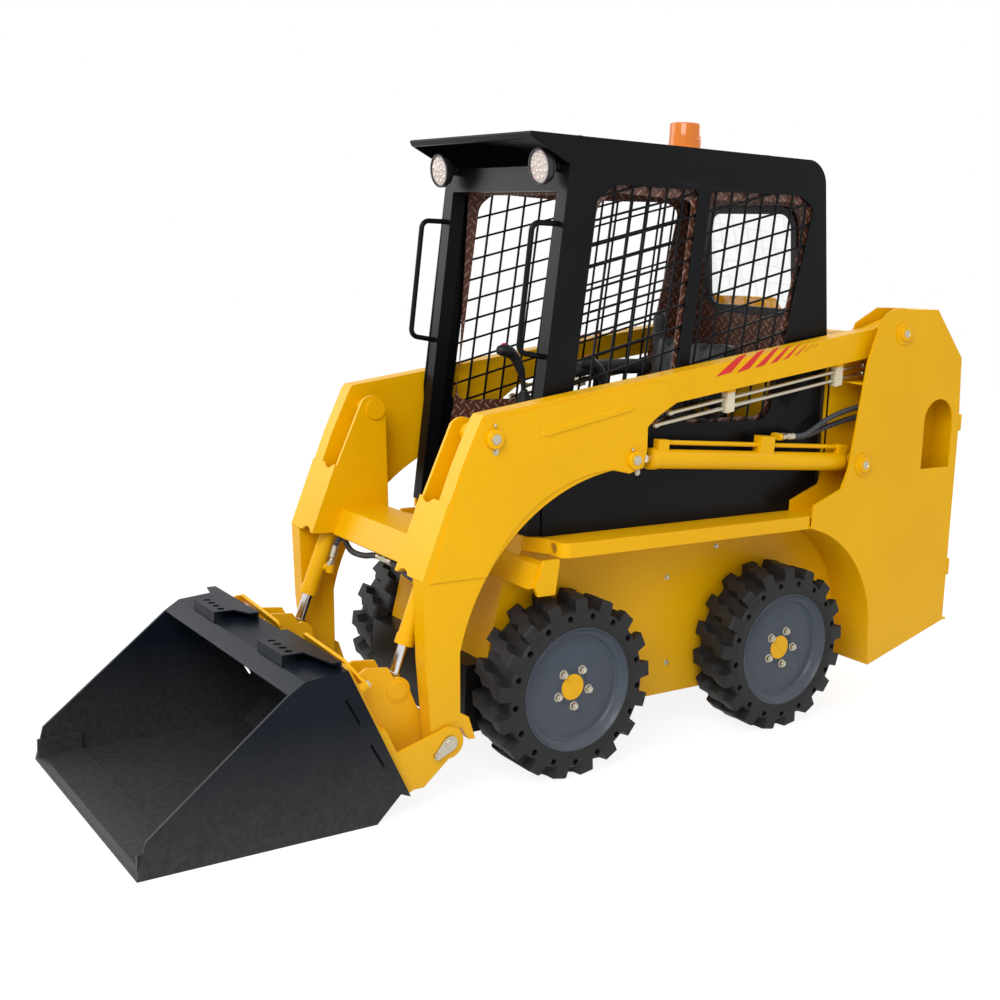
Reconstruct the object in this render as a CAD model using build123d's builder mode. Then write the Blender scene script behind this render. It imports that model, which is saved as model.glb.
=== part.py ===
from build123d import *
from math import atan2, cos, hypot, pi, radians, sin
import os

os.makedirs("parts", exist_ok=True)

# Overall places: y from the middle of the wheelbase, z from the ground, x from the middle plane
wheelbase = 930
lip_reach = 1886
rear_reach = 1372
mid_y = (lip_reach - rear_reach) / 2
clearance = 6
pin_clearance = 0.05
seat_gap = 0.3

# Wheels
tyre_radius = 300
tyre_width = 178
tyre_face_x = 510
tread_base = 264
rim_radius = 205
rim_wall = 8
rim_disc_inset = 34
rim_disc_thickness = 10
hub_radius = 44
rim_inset = 6
lug_count = 17
lug_share = 0.55
lug_step = 0.25
axle_z = tyre_radius
axle_tube_radius = 48
axle_flange_radius = 88
axle_flange = 10

# Chassis plates
tub_half_width = 316
tub_wall = 8
tub_front_y = -640
tub_front_z = 640
tub_rear_y = 1330
tub_bottom_z = 146
tail_start_y = 930
tail_high_z = 290
footwell_y = -772
footwell_z = 372
footwell_wall = 6
footwell_rear_y = -697
fender_z = 781
fender_lip = 48
fender_out_x = 490
fender_front_y = -534
fender_rear_y = 565
fender_wall = 6
fender_corner = 34
tie_hole_radius = 17

# Towers
tower_out_x = 500
tower_wall = 8
tower_inner_x = 376
tower_inner_front_y = 740
tower_top_z = 1532
tower_rear_y = 1352
tower_inner_z = 700
arch_radius = 447
arch_wall = 6

# Lift arms
arm_out_x = 462
arm_width = 62
arm_in_x = arm_out_x - arm_width
arm_pivot = (990, 1442)
arm_pivot_radius = 56
arm_pin_radius = 22
lift_eye = (-245, 1030)
lift_ear_wall = 12
gusset_wall = 4
bracket_in_x = 292
bracket_wall = 12
tilt_top = (-793, 1125)
coupler_pivot = (-926, 198)
leg_end_radius = 50

# Cylinders
lift_base = (816, 957)
lift_x = (arm_in_x + arm_out_x) / 2
lift_barrel_radius = 33
lift_rod_radius = 18
lift_stroke = 545
lift_nose = 84
tilt_eye = (-1058, 357)
tilt_x = 340
tilt_barrel_radius = 28
tilt_rod_radius = 17
tilt_stroke = 314
tilt_nose = 134
cylinder_wall = 6
cylinder_pin_radius = 16
eye_radius = 34
eye_width = 32
nose_collar = 3
nose_length = 30
pin_side_gap = 3

# Coupler and bucket
coupler_plate = 12
bucket_half_width = 500
bucket_side = 10
bucket_floor = 10

# Cab
cab_half_width = 373
cab_wall = 6
side_inner_x = cab_half_width - cab_wall
post_width = 52
roof_top_z = 2050
roof_plate = 5
floor_wall = 6
floor_z = fender_z + seat_gap + floor_wall


# Where sketches lie: side planes look along +X, front planes along -Y, level planes down
def side(x):
    return Plane(origin=(x, mid_y, 0), x_dir=(0, 1, 0), z_dir=(1, 0, 0))


def across(y):
    return Plane(origin=(0, mid_y + y, 0), x_dir=(1, 0, 0), z_dir=(0, -1, 0))


def level(z):
    return Plane(origin=(0, mid_y, z), x_dir=(1, 0, 0), z_dir=(0, 0, 1))


# A side plane whose own x runs from one point of the side view to another
def along(x, start, end):
    return Plane(
        origin=(x, mid_y + start[0], start[1]),
        x_dir=(0, end[0] - start[0], end[1] - start[1]),
        z_dir=(1, 0, 0),
    )


def distance(start, end):
    return hypot(end[0] - start[0], end[1] - start[1])


def write(piece, name):
    piece.part.label = name
    export_step(piece.part, "parts/" + name + ".step")


# Corners of one ring of lugs, turned by a share of the pitch
def lug_ring(turn, width_share):
    corners = []
    pitch = 2 * pi / lug_count
    for step in range(lug_count):
        for share, radius in (
            (-width_share / 2 - 0.06, tread_base),
            (-width_share / 2, tyre_radius),
            (width_share / 2, tyre_radius),
            (width_share / 2 + 0.06, tread_base),
        ):
            angle = (step + turn + share) * pitch
            corners.append((radius * cos(angle), radius * sin(angle)))
    return corners


# Wheels: columns are name, side, place along the wheelbase
wheel_table = [
    ("front_left", 1, -0.5),
    ("front_right", -1, -0.5),
    ("rear_left", 1, 0.5),
    ("rear_right", -1, 0.5),
]
rim_disc_x = tyre_face_x - rim_disc_inset
tyre_inner_x = tyre_face_x - tyre_width
shoulder = 52
# Slabs of tread from the inner to the outer face: columns are thickness, turn, width share
slab_table = [
    (shoulder, 2 * lug_step, lug_share),
    (tyre_width - 2 * shoulder, lug_step, lug_share),
    (shoulder, 0, lug_share),
]
for wheel_name, hand, share in wheel_table:
    axle_y = share * wheelbase
    axle = Axis((0, mid_y + axle_y, axle_z), (1, 0, 0))
    radial = Plane(origin=(0, mid_y + axle_y, axle_z), x_dir=(hand, 0, 0), z_dir=(0, -hand, 0))
    wheel_plane = Plane(
        origin=(hand * tyre_inner_x, mid_y + axle_y, axle_z), x_dir=(0, 1, 0), z_dir=(hand, 0, 0)
    )
    with BuildPart() as tyre:
        slab_start = 0
        for thickness, turn, width_share in slab_table:
            with BuildSketch(wheel_plane.offset(slab_start)):
                Polygon(*lug_ring(turn, width_share), align=None)
            extrude(amount=thickness)
            slab_start = slab_start + thickness
        with BuildSketch(wheel_plane):
            RegularPolygon(rim_radius + seat_gap, 2 * lug_count, major_radius=False)
        extrude(amount=tyre_width, mode=Mode.SUBTRACT)
    write(tyre, "tyre_" + wheel_name)
    with BuildPart() as rim:
        with BuildSketch(radial):
            with BuildLine():
                Polyline(
                    (tyre_inner_x + rim_inset, rim_radius),
                    (tyre_face_x - 2, rim_radius),
                    (tyre_face_x - 4, rim_radius - rim_wall),
                    (rim_disc_x, rim_radius - 3.5 * rim_wall),
                    (rim_disc_x, 0),
                    (rim_disc_x - rim_disc_thickness, 0),
                    (rim_disc_x - rim_disc_thickness, rim_radius - 3.5 * rim_wall),
                    (rim_disc_x - 2 * rim_disc_thickness, rim_radius - rim_wall),
                    (tyre_inner_x + rim_inset, rim_radius - rim_wall),
                    close=True,
                )
            make_face()
        revolve(axis=axle)
        with BuildSketch(wheel_plane.offset(rim_disc_x - tyre_inner_x)):
            Circle(hub_radius)
        extrude(amount=rim_wall)
    write(rim, "rim_" + wheel_name)

# Axle tubes: one casting for each wheel, from the tub wall to just behind the rim disc
with BuildPart() as axle_tubes:
    for share in (-0.5, 0.5):
        hub_plane = Plane(
            origin=(tub_half_width, mid_y + share * wheelbase, axle_z), x_dir=(0, 1, 0), z_dir=(1, 0, 0)
        )
        with BuildSketch(hub_plane):
            Circle(axle_flange_radius)
        extrude(amount=axle_flange)
        with BuildSketch(hub_plane):
            Circle(axle_tube_radius)
        extrude(amount=rim_disc_x - rim_disc_thickness - seat_gap - tub_half_width)
    mirror(about=Plane.YZ)
write(axle_tubes, "axle_tubes")

# Frame tub: floor, side plates, sloped front plate and slanted tail
tub_shoulder_y = -540
tub_outline = [
    (footwell_rear_y, tub_bottom_z),
    (tail_start_y, tub_bottom_z),
    (tub_rear_y, tail_high_z),
    (tub_rear_y, fender_z),
    (tub_shoulder_y, fender_z),
    (tub_front_y, tub_front_z),
    (footwell_rear_y, footwell_z),
]
tub_inside = [
    (footwell_rear_y + tub_wall, tub_bottom_z + tub_wall),
    (tail_start_y, tub_bottom_z + tub_wall),
    (tub_rear_y - tub_wall, tail_high_z + tub_wall),
    (tub_rear_y - tub_wall, fender_z + 1),
    (tub_shoulder_y, fender_z + 1),
    (tub_front_y + tub_wall, tub_front_z),
    (footwell_rear_y + tub_wall, footwell_z),
]
engine_y = 1020
engine_length = 480
engine_width = 420
engine_height = 520
engine_low_z = 330
mount_width = 60
mount_length = 50
mount_inset = 50
with BuildPart() as frame_tub:
    with BuildSketch(side(-tub_half_width)):
        Polygon(*tub_outline, align=None)
    extrude(amount=2 * tub_half_width)
    with BuildSketch(side(-tub_half_width + tub_wall)):
        Polygon(*tub_inside, align=None)
    extrude(amount=2 * (tub_half_width - tub_wall), mode=Mode.SUBTRACT)
write(frame_tub, "frame_tub")

# Engine mounts: a post under each corner of the block, down to the floor or to the slanted tail
tail_slope = (tail_high_z - tub_bottom_z) / (tub_rear_y - tub_wall - tail_start_y)
with BuildPart() as engine_mounts:
    for end in (-1, 1):
        mount_y = engine_y + end * (engine_length / 2 - mount_inset)
        slope = tail_slope if mount_y > tail_start_y else 0
        mount_low_z = tub_bottom_z + tub_wall + slope * (mount_y - tail_start_y)
        with BuildSketch(side(engine_width / 2 - mount_inset - mount_width / 2)):
            Polygon(
                (mount_y - mount_length / 2, engine_low_z - seat_gap),
                (mount_y - mount_length / 2, mount_low_z - slope * mount_length / 2),
                (mount_y + mount_length / 2, mount_low_z + slope * mount_length / 2),
                (mount_y + mount_length / 2, engine_low_z - seat_gap),
                align=None,
            )
        extrude(amount=mount_width)
    mirror(about=Plane.YZ)
write(engine_mounts, "engine_mounts")

# Footwell box at the front of the frame, folded from plate and open at its back
with BuildPart() as footwell_box:
    with BuildSketch(side(-tub_half_width)):
        Polygon(
            (footwell_y, tub_bottom_z),
            (footwell_rear_y - seat_gap, tub_bottom_z),
            (footwell_rear_y - seat_gap, footwell_z),
            (footwell_y, footwell_z),
            align=None,
        )
    extrude(amount=2 * tub_half_width)
    with BuildSketch(side(-tub_half_width + footwell_wall)):
        Polygon(
            (footwell_y + footwell_wall, tub_bottom_z + footwell_wall),
            (footwell_rear_y, tub_bottom_z + footwell_wall),
            (footwell_rear_y, footwell_z - footwell_wall),
            (footwell_y + footwell_wall, footwell_z - footwell_wall),
            align=None,
        )
    extrude(amount=2 * (tub_half_width - footwell_wall), mode=Mode.SUBTRACT)
write(footwell_box, "footwell_box")

# Front bumper: a member across the front with a bent end plate on each side
bumper_top_z = 716
bumper_height = 76
bumper_end_x = 455
bumper_end_plate = 14
with BuildPart() as front_bumper:
    with BuildSketch(side(-bumper_end_x)):
        Polygon(
            (tub_front_y + 40, bumper_top_z - bumper_height),
            (tub_front_y - 2, bumper_top_z - bumper_height),
            (tub_front_y + 24, bumper_top_z),
            (tub_front_y + 70, bumper_top_z),
            align=None,
        )
    extrude(amount=2 * bumper_end_x)
    for end_x in (bumper_end_x, -bumper_end_x - bumper_end_plate):
        with BuildSketch(side(end_x)):
            Polygon(
                (tub_front_y + 96, bumper_top_z - bumper_height - 26),
                (tub_front_y + 30, bumper_top_z - bumper_height - 26),
                (tub_front_y + 18, bumper_top_z - bumper_height + 4),
                (tub_front_y + 50, bumper_top_z + 12),
                (tub_front_y + 110, bumper_top_z + 12),
                align=None,
            )
        extrude(amount=bumper_end_plate)
    with BuildSketch(side(-tub_half_width)):
        Polygon(*tub_outline, align=None)
    extrude(amount=2 * tub_half_width, mode=Mode.SUBTRACT)
write(front_bumper, "front_bumper")

# Fender rails: a shelf over each pair of wheels, its lip turned round the front end, with a tie hole
rail_in_x = tub_half_width + seat_gap
tie_hole_x = fender_out_x - 1.6 * fender_corner
with BuildPart() as fender_rails:
    with BuildSketch(level(fender_z)) as rail_face:
        Polygon(
            (rail_in_x, fender_front_y - 46),
            (rail_in_x + 20, fender_front_y - 46),
            (fender_out_x - 2.3 * fender_corner, fender_front_y),
            (fender_out_x, fender_front_y),
            (fender_out_x, fender_rear_y),
            (rail_in_x, fender_rear_y),
            align=None,
        )
        fillet(rail_face.vertices().group_by(Axis.Y)[1].sort_by(Axis.X)[-1], radius=fender_corner)
    extrude(amount=-fender_lip)
    with BuildSketch(level(fender_z - fender_wall)) as rail_inside:
        Polygon(
            (rail_in_x + fender_wall, fender_front_y - 46 + 1.6 * fender_wall),
            (rail_in_x + 17, fender_front_y - 46 + 1.6 * fender_wall),
            (fender_out_x - 2.3 * fender_corner - 2, fender_front_y + fender_wall),
            (fender_out_x - fender_wall, fender_front_y + fender_wall),
            (fender_out_x - fender_wall, fender_rear_y + 1),
            (rail_in_x + fender_wall, fender_rear_y + 1),
            align=None,
        )
        fillet(
            rail_inside.vertices().group_by(Axis.Y)[1].sort_by(Axis.X)[-1], radius=fender_corner - fender_wall
        )
    extrude(amount=-fender_lip, mode=Mode.SUBTRACT)
    with BuildSketch(across(fender_front_y - 20)):
        with Locations((tie_hole_x, fender_z - fender_lip / 2)):
            Circle(tie_hole_radius)
    extrude(amount=-60, mode=Mode.SUBTRACT)
    mirror(about=Plane.YZ)
write(fender_rails, "fender_rails")

# Towers: outer and inner plates, closing plates and the wheel arch
rear_axle_y = wheelbase / 2
arch_low = (rear_axle_y + arch_radius + 13, 171)
arch_high = (569, 750)
arch_start = (rear_axle_y + arch_radius, axle_z)
arch_mid_angle = radians(38)
arch_end_angle = atan2(arch_high[1] - axle_z, arch_high[0] - rear_axle_y)
tower_front = [(arch_high[0], 821), (707, 872), (740, 946)]
tower_tail = [(1174, tower_top_z), (1336, 1347), (tower_rear_y, 1091)]
tail_low_z = 295
cut_centre = (1228, 1012)
cut_width = 168
cut_height = 185
rest_plate = (796, 1252)
rest_plate_length = 109


# A point of the wheel arch, on its outside by the given distance
def arch_point(angle, out):
    return (rear_axle_y + (arch_radius + out) * cos(angle), axle_z + (arch_radius + out) * sin(angle))


arch_mid = arch_point(arch_mid_angle, 0)
arch_end = arch_point(arch_end_angle, 0)
with BuildPart() as tower_left:
    with BuildSketch(side(tower_out_x - tower_wall)):
        with BuildLine():
            Polyline(arch_end, arch_high, *tower_front, (801, 1330), (854, 1475))
            ThreePointArc((854, 1475), (895, 1518), (967, tower_top_z))
            Polyline((967, tower_top_z), *tower_tail, (tower_rear_y, tail_low_z), arch_low, arch_start)
            ThreePointArc(arch_start, arch_mid, arch_end)
        make_face()
        with Locations(cut_centre):
            Rectangle(cut_width, cut_height, mode=Mode.SUBTRACT)
        with Locations((cut_centre[0], cut_centre[1] + cut_height / 2)):
            Circle(cut_width / 2, mode=Mode.SUBTRACT)
        with Locations(arm_pivot):
            Circle(arm_pin_radius + pin_clearance, mode=Mode.SUBTRACT)
        with Locations(lift_base):
            Circle(cylinder_pin_radius + pin_clearance, mode=Mode.SUBTRACT)
    extrude(amount=tower_wall)
    with BuildSketch(side(tower_inner_x)):
        Polygon(
            (arch_high[0], fender_z - fender_wall),
            *tower_front,
            (tower_inner_front_y, 1250),
            (854, 1475),
            (967, tower_top_z),
            *tower_tail,
            (tower_rear_y, tower_inner_z),
            (tower_inner_front_y, tower_inner_z),
            align=None,
        )
        with Locations(arm_pivot):
            Circle(arm_pin_radius + pin_clearance, mode=Mode.SUBTRACT)
        with Locations(lift_base):
            Circle(cylinder_pin_radius + pin_clearance, mode=Mode.SUBTRACT)
    extrude(amount=tower_wall)
    # closing plate along the top rear, the slope and the rear edge
    with BuildSketch(side(tower_inner_x)):
        Polygon(
            (1050, tower_top_z),
            *tower_tail,
            (tower_rear_y, tower_inner_z),
            (tower_rear_y - tower_wall, tower_inner_z),
            (tower_rear_y - tower_wall, 1091),
            (1336 - tower_wall, 1344),
            (1170, tower_top_z - tower_wall),
            (1050, tower_top_z - tower_wall),
            align=None,
        )
    extrude(amount=tower_out_x - tower_inner_x)
    # closing plate of the tail, with the ledge under the door
    with BuildSketch(side(rail_in_x)):
        Polygon(
            (tower_rear_y, tower_inner_z),
            (tower_rear_y, tail_low_z + tower_wall),
            (rear_reach - seat_gap, tail_low_z + tower_wall),
            (rear_reach - seat_gap, tail_low_z),
            (tower_rear_y, tail_low_z),
            arch_low,
            (arch_low[0] + tower_wall, arch_low[1] + tower_wall + 4),
            (tower_rear_y - tower_wall, tail_low_z + tower_wall),
            (tower_rear_y - tower_wall, tower_inner_z),
            align=None,
        )
    extrude(amount=tower_out_x - rail_in_x)
    # shelf between the tub and the inner plate, and the fender shelf in front of it
    for start_y, end_y, low_z, wall, shelf_out_x in (
        (tower_inner_front_y, tower_rear_y, tower_inner_z, tower_wall, tower_inner_x + tower_wall),
        (arch_high[0], tower_inner_front_y + tower_wall, fender_z - fender_wall, fender_wall, tower_out_x),
    ):
        with BuildSketch(side(rail_in_x)):
            with Locations((start_y, low_z)):
                Rectangle(end_y - start_y, wall, align=(Align.MIN, Align.MIN))
        extrude(amount=shelf_out_x - rail_in_x)
    # rest plate between the plates, under the rear of the arm
    with BuildSketch(side(tower_inner_x)):
        with Locations(rest_plate):
            Rectangle(rest_plate_length, tower_wall, align=(Align.MIN, Align.MIN))
    extrude(amount=tower_out_x - tower_inner_x)
    # wheel arch, from the tub wall to the outer plate
    with BuildSketch(side(rail_in_x)):
        with BuildLine():
            ThreePointArc(arch_start, arch_mid, arch_end)
            Line(arch_end, arch_point(arch_end_angle, arch_wall))
            ThreePointArc(
                arch_point(arch_end_angle, arch_wall),
                arch_point(arch_mid_angle, arch_wall),
                (arch_start[0] + arch_wall, arch_start[1]),
            )
            Polyline(
                (arch_start[0] + arch_wall, arch_start[1]),
                (arch_low[0] + arch_wall, arch_low[1] + 2),
                arch_low,
                arch_start,
            )
        make_face()
    extrude(amount=tower_out_x - rail_in_x)
write(tower_left, "tower_left")
with BuildPart() as tower_right:
    mirror(tower_left.part, about=Plane.YZ)
write(tower_right, "tower_right")

# Tower pins with their stepped boss discs: columns are place, pin radius
tower_pin_table = [
    (arm_pivot, arm_pin_radius),
    (lift_base, cylinder_pin_radius),
]
boss_base_radius = 43
boss_base = 5
boss_radius = 30
boss_height = 16
with BuildPart() as tower_pins:
    for place, pin_radius in tower_pin_table:
        for low_x, high_x, radius in (
            (tower_inner_x, tower_out_x + boss_height, pin_radius),
            (tower_out_x + seat_gap, tower_out_x + boss_base, boss_base_radius),
            (tower_out_x + seat_gap, tower_out_x + boss_height - 3, boss_radius),
        ):
            with BuildSketch(side(low_x)):
                with Locations(place):
                    Circle(radius)
            extrude(amount=high_x - low_x)
    mirror(about=Plane.YZ)
write(tower_pins, "tower_pins")

# Engine block, a plain mass at its real place, on its mounts
with BuildPart() as engine_block:
    with BuildSketch(level(engine_low_z)):
        with Locations((0, engine_y)):
            Rectangle(engine_width, engine_length)
    extrude(amount=engine_height)
    fillet(engine_block.edges().filter_by(Axis.Z), radius=30)
write(engine_block, "engine_block")

# Engine cover between the towers, sloped at the rear, with louvre slots
cover_front_y = 726
cover_z = 1418
cover_wall = 5
cover_half = tower_inner_x - seat_gap
slot_count = 7
with BuildPart() as engine_cover:
    with BuildSketch(side(-cover_half)):
        Polygon(
            (cover_front_y, 860),
            (cover_front_y, cover_z),
            (1190, cover_z),
            (1320, 1300),
            (1320, 1300 - cover_wall * 1.4),
            (1188, cover_z - cover_wall),
            (cover_front_y + cover_wall, cover_z - cover_wall),
            (cover_front_y + cover_wall, 860),
            align=None,
        )
    extrude(amount=2 * cover_half)
    with BuildSketch(level(cover_z)):
        with Locations((0, 1000)):
            with GridLocations(240, 44, 2, slot_count):
                Rectangle(200, 18)
    extrude(amount=-2 * cover_wall, mode=Mode.SUBTRACT)
write(engine_cover, "engine_cover")

# Rear door, a folded leaf with louvre slots, hinged at the left rear edge
door_half = 480
door_low = 316
door_high = 1338
door_leaf = 6
door_corner = 12
door_y = tower_rear_y + clearance
hinge_x = 492
hinge_radius = 9
hinge_length = 64
hinge_pin_radius = 5
hinge_y = rear_reach - hinge_radius
hinge_reach = 20
hinge_table = [480, 1060]
louvre_table = [630, 1010]
with BuildPart() as rear_door:
    with BuildSketch(across(door_y + door_leaf)):
        with Locations((0, (door_low + door_high) / 2)):
            RectangleRounded(2 * door_half, door_high - door_low, door_corner)
    extrude(amount=door_leaf)
    with BuildSketch(across(door_y + door_leaf)):
        for middle_z in louvre_table:
            with Locations((0, middle_z)):
                with GridLocations(300, 40, 2, 6):
                    Rectangle(240, 16)
    extrude(amount=2 * door_leaf, mode=Mode.SUBTRACT)
    for low_z in hinge_table:
        with BuildSketch(level(low_z + hinge_length / 2)):
            with Locations((hinge_x, hinge_y)):
                Circle(hinge_radius)
            with Locations((door_half - hinge_reach, door_y)):
                Rectangle(hinge_x - door_half + hinge_reach, door_leaf, align=(Align.MIN, Align.MIN))
            with Locations((hinge_x, hinge_y)):
                Circle(hinge_pin_radius + pin_clearance, mode=Mode.SUBTRACT)
        extrude(amount=hinge_length / 2)
write(rear_door, "rear_door")

# Hinge lugs on the tower, each with its pin
with BuildPart() as hinge_lugs:
    for low_z in hinge_table:
        with BuildSketch(level(low_z)):
            with Locations((hinge_x, hinge_y)):
                Circle(hinge_radius)
            with Locations((hinge_x, tower_rear_y + seat_gap)):
                Rectangle(
                    2 * hinge_radius, hinge_y - tower_rear_y - seat_gap, align=(Align.CENTER, Align.MIN)
                )
        extrude(amount=hinge_length / 2 - seat_gap)
        with BuildSketch(level(low_z)):
            with Locations((hinge_x, hinge_y)):
                Circle(hinge_pin_radius)
        extrude(amount=hinge_length)
write(hinge_lugs, "hinge_lugs")

# Cab floor
cab_front_y = -536
cab_rear_y = 700
with BuildPart() as cab_floor:
    with BuildSketch(level(fender_z + seat_gap)):
        with Locations((0, (cab_front_y + cab_rear_y) / 2)):
            Rectangle(2 * (side_inner_x - seat_gap), cab_rear_y - cab_front_y)
    extrude(amount=floor_wall)
write(cab_floor, "cab_floor")

# Lower side panels, from the fender shelf to the sill under the windows
sill_front = (-560, 1195)
sill_rear = (cab_rear_y, 1310)
with BuildPart() as lower_side_panels:
    with BuildSketch(side(side_inner_x)):
        Polygon(
            (cab_front_y, fender_z + seat_gap),
            (cab_rear_y, fender_z + seat_gap),
            (sill_rear[0], sill_rear[1] - seat_gap),
            (sill_front[0], sill_front[1] - seat_gap),
            align=None,
        )
    extrude(amount=cab_wall)
    mirror(about=Plane.YZ)
write(lower_side_panels, "lower_side_panels")

# Cab side panels with two windows each, under the stepped seam of the roof cap
window_table = [
    [(-374, 1858), (-304, 1909), (51, 1913), (-2, 1335), (-435, 1269)],
    [(105, 1912), (521, 1924), (597, 1884), (497, 1413), (48, 1334)],
]
window_corner = 24
seam = [(-487, 1947), (-351, 1949), (-340, 1972), (651, 1974)]
with BuildPart() as cab_side_left:
    with BuildSketch(side(side_inner_x)):
        Polygon(
            sill_front,
            *[(place[0], place[1] - seat_gap) for place in seam],
            (715, 1380),
            sill_rear,
            align=None,
        )
        for window in window_table:
            with BuildSketch(side(side_inner_x), mode=Mode.SUBTRACT) as hole:
                Polygon(*window, align=None)
                fillet(hole.vertices(), radius=window_corner)
    extrude(amount=cab_wall)
write(cab_side_left, "cab_side_left")
with BuildPart() as cab_side_right:
    mirror(cab_side_left.part, about=Plane.YZ)
write(cab_side_right, "cab_side_right")

# Mesh guards behind the windows, welded bars
bar = 7
mesh_pitch_y = 58
mesh_pitch_z = 68
mesh_margin = 14
mesh_x = side_inner_x - bar - seat_gap
mesh_low = 1230
mesh_high = 1930
with BuildPart() as mesh_guards:
    with BuildSketch(side(mesh_x)):
        with Locations((75, (mesh_low + mesh_high) / 2)):
            with GridLocations(mesh_pitch_y, 1, 19, 1):
                Rectangle(bar, mesh_high - mesh_low)
            with GridLocations(1, mesh_pitch_z, 1, 11):
                Rectangle(1100, bar)
        with BuildSketch(side(mesh_x), mode=Mode.INTERSECT):
            for window in window_table:
                with BuildSketch(side(mesh_x)):
                    Polygon(*window, align=None)
                    offset(amount=mesh_margin, kind=Kind.INTERSECTION)
    extrude(amount=bar)
    mirror(about=Plane.YZ)
write(mesh_guards, "mesh_guards")

# Inner linings of tread plate on the side walls, their openings set in from the windows
lining_wall = 3
lining_x = mesh_x - seat_gap - lining_wall
lining_inset = 12
with BuildPart() as cab_linings:
    with BuildSketch(side(lining_x)):
        Polygon((-425, 1240), (-405, 1935), (625, 1935), (655, 1330), align=None)
        for window in window_table:
            with BuildSketch(side(lining_x), mode=Mode.SUBTRACT) as hole:
                Polygon(*window, align=None)
                offset(amount=-lining_inset, kind=Kind.INTERSECTION)
                fillet(hole.vertices(), radius=window_corner)
    extrude(amount=lining_wall)
    mirror(about=Plane.YZ)
write(cab_linings, "cab_linings")

# Front frame: two posts and a header
post_slope_y = 108
post_low = (-594, floor_z)
post_high = (post_low[0] + post_slope_y, 1960)
header_height = 80
post_outline = [
    post_low,
    post_high,
    (post_high[0] + post_width, post_high[1]),
    (post_low[0] + post_width, post_low[1]),
]
with BuildPart() as cab_front_frame:
    with BuildSketch(side(side_inner_x - post_width)):
        Polygon(*post_outline, align=None)
    extrude(amount=post_width - seat_gap)
    mirror(about=Plane.YZ)
    with BuildSketch(side(-(side_inner_x - post_width))):
        Polygon(*post_outline, align=None)
        with Locations((post_low[0], post_low[1])):
            Rectangle(
                post_slope_y + post_width, post_high[1] - header_height - post_low[1],
                align=(Align.MIN, Align.MIN), mode=Mode.SUBTRACT,
            )
    extrude(amount=2 * (side_inner_x - post_width))
write(cab_front_frame, "cab_front_frame")

# Cab rear panel with a rounded window
rear_window_width = 480
rear_window_height = 380
rear_window_corner = 70
rear_window_z = 380
rear_plane = Plane(origin=(0, mid_y + cab_rear_y, sill_rear[1]), x_dir=(1, 0, 0), z_dir=(0, -1, -0.09))
with BuildPart() as cab_rear_panel:
    with BuildSketch(rear_plane):
        with Locations((0, 330)):
            Rectangle(2 * (side_inner_x - seat_gap), 640)
        with Locations((0, rear_window_z)):
            RectangleRounded(
                rear_window_width, rear_window_height, rear_window_corner, mode=Mode.SUBTRACT
            )
    extrude(amount=cab_wall)
write(cab_rear_panel, "cab_rear_panel")

# Rubber gasket and the glass of the rear window
gasket_face = 14
gasket_wall = 14
glass_wall = 5
with BuildPart() as rear_gasket:
    with BuildSketch(rear_plane.offset(cab_wall + seat_gap)):
        with Locations((0, rear_window_z)):
            RectangleRounded(
                rear_window_width + 2 * gasket_face, rear_window_height + 2 * gasket_face,
                rear_window_corner + gasket_face,
            )
            RectangleRounded(
                rear_window_width - 2 * gasket_face, rear_window_height - 2 * gasket_face,
                rear_window_corner - gasket_face, mode=Mode.SUBTRACT,
            )
    extrude(amount=gasket_wall)
write(rear_gasket, "rear_gasket")
with BuildPart() as rear_window:
    with BuildSketch(rear_plane.offset(cab_wall - glass_wall)):
        with Locations((0, rear_window_z)):
            RectangleRounded(
                rear_window_width - 2 * seat_gap, rear_window_height - 2 * seat_gap, rear_window_corner
            )
    extrude(amount=glass_wall)
write(rear_window, "rear_window")

# Roof cap: side cheeks and a top plate with a slotted visor over the front, and the raised bolted plate
roof_rear_radius = 90
visor_edge = [(-640, 2044), (-632, 2030), (-487, 1962)]
visor_slot_y = -560
with BuildPart() as cab_roof:
    with BuildSketch(side(-cab_half_width)):
        with BuildLine():
            Polyline((-636, roof_top_z), *visor_edge, *seam)
            Line(seam[-1], (seam[-1][0] - 1, roof_top_z - roof_rear_radius + 20))
            ThreePointArc(
                (seam[-1][0] - 1, roof_top_z - roof_rear_radius + 20),
                (seam[-1][0] - 30, roof_top_z - 22),
                (seam[-1][0] - roof_rear_radius - 10, roof_top_z),
            )
            Line((seam[-1][0] - roof_rear_radius - 10, roof_top_z), (-636, roof_top_z))
        make_face()
    extrude(amount=2 * cab_half_width)
    with BuildSketch(side(-cab_half_width + cab_wall)):
        with BuildLine():
            Polyline(
                (-626, roof_top_z - roof_plate),
                (-626, 1900),
                (seam[-1][0] - roof_plate, 1900),
                (seam[-1][0] - roof_plate - 1, roof_top_z - roof_rear_radius + 20),
            )
            ThreePointArc(
                (seam[-1][0] - roof_plate - 1, roof_top_z - roof_rear_radius + 20),
                (seam[-1][0] - 34, roof_top_z - 26),
                (seam[-1][0] - roof_rear_radius - 10, roof_top_z - roof_plate),
            )
            Line(
                (seam[-1][0] - roof_rear_radius - 10, roof_top_z - roof_plate),
                (-626, roof_top_z - roof_plate),
            )
        make_face()
    extrude(amount=2 * (cab_half_width - cab_wall), mode=Mode.SUBTRACT)
    with BuildSketch(level(roof_top_z)):
        with Locations((0, visor_slot_y)):
            with GridLocations(44, 40, 12, 2):
                Rectangle(34, 12, rotation=45)
    extrude(amount=-2 * roof_plate, mode=Mode.SUBTRACT)
write(cab_roof, "cab_roof")

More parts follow.
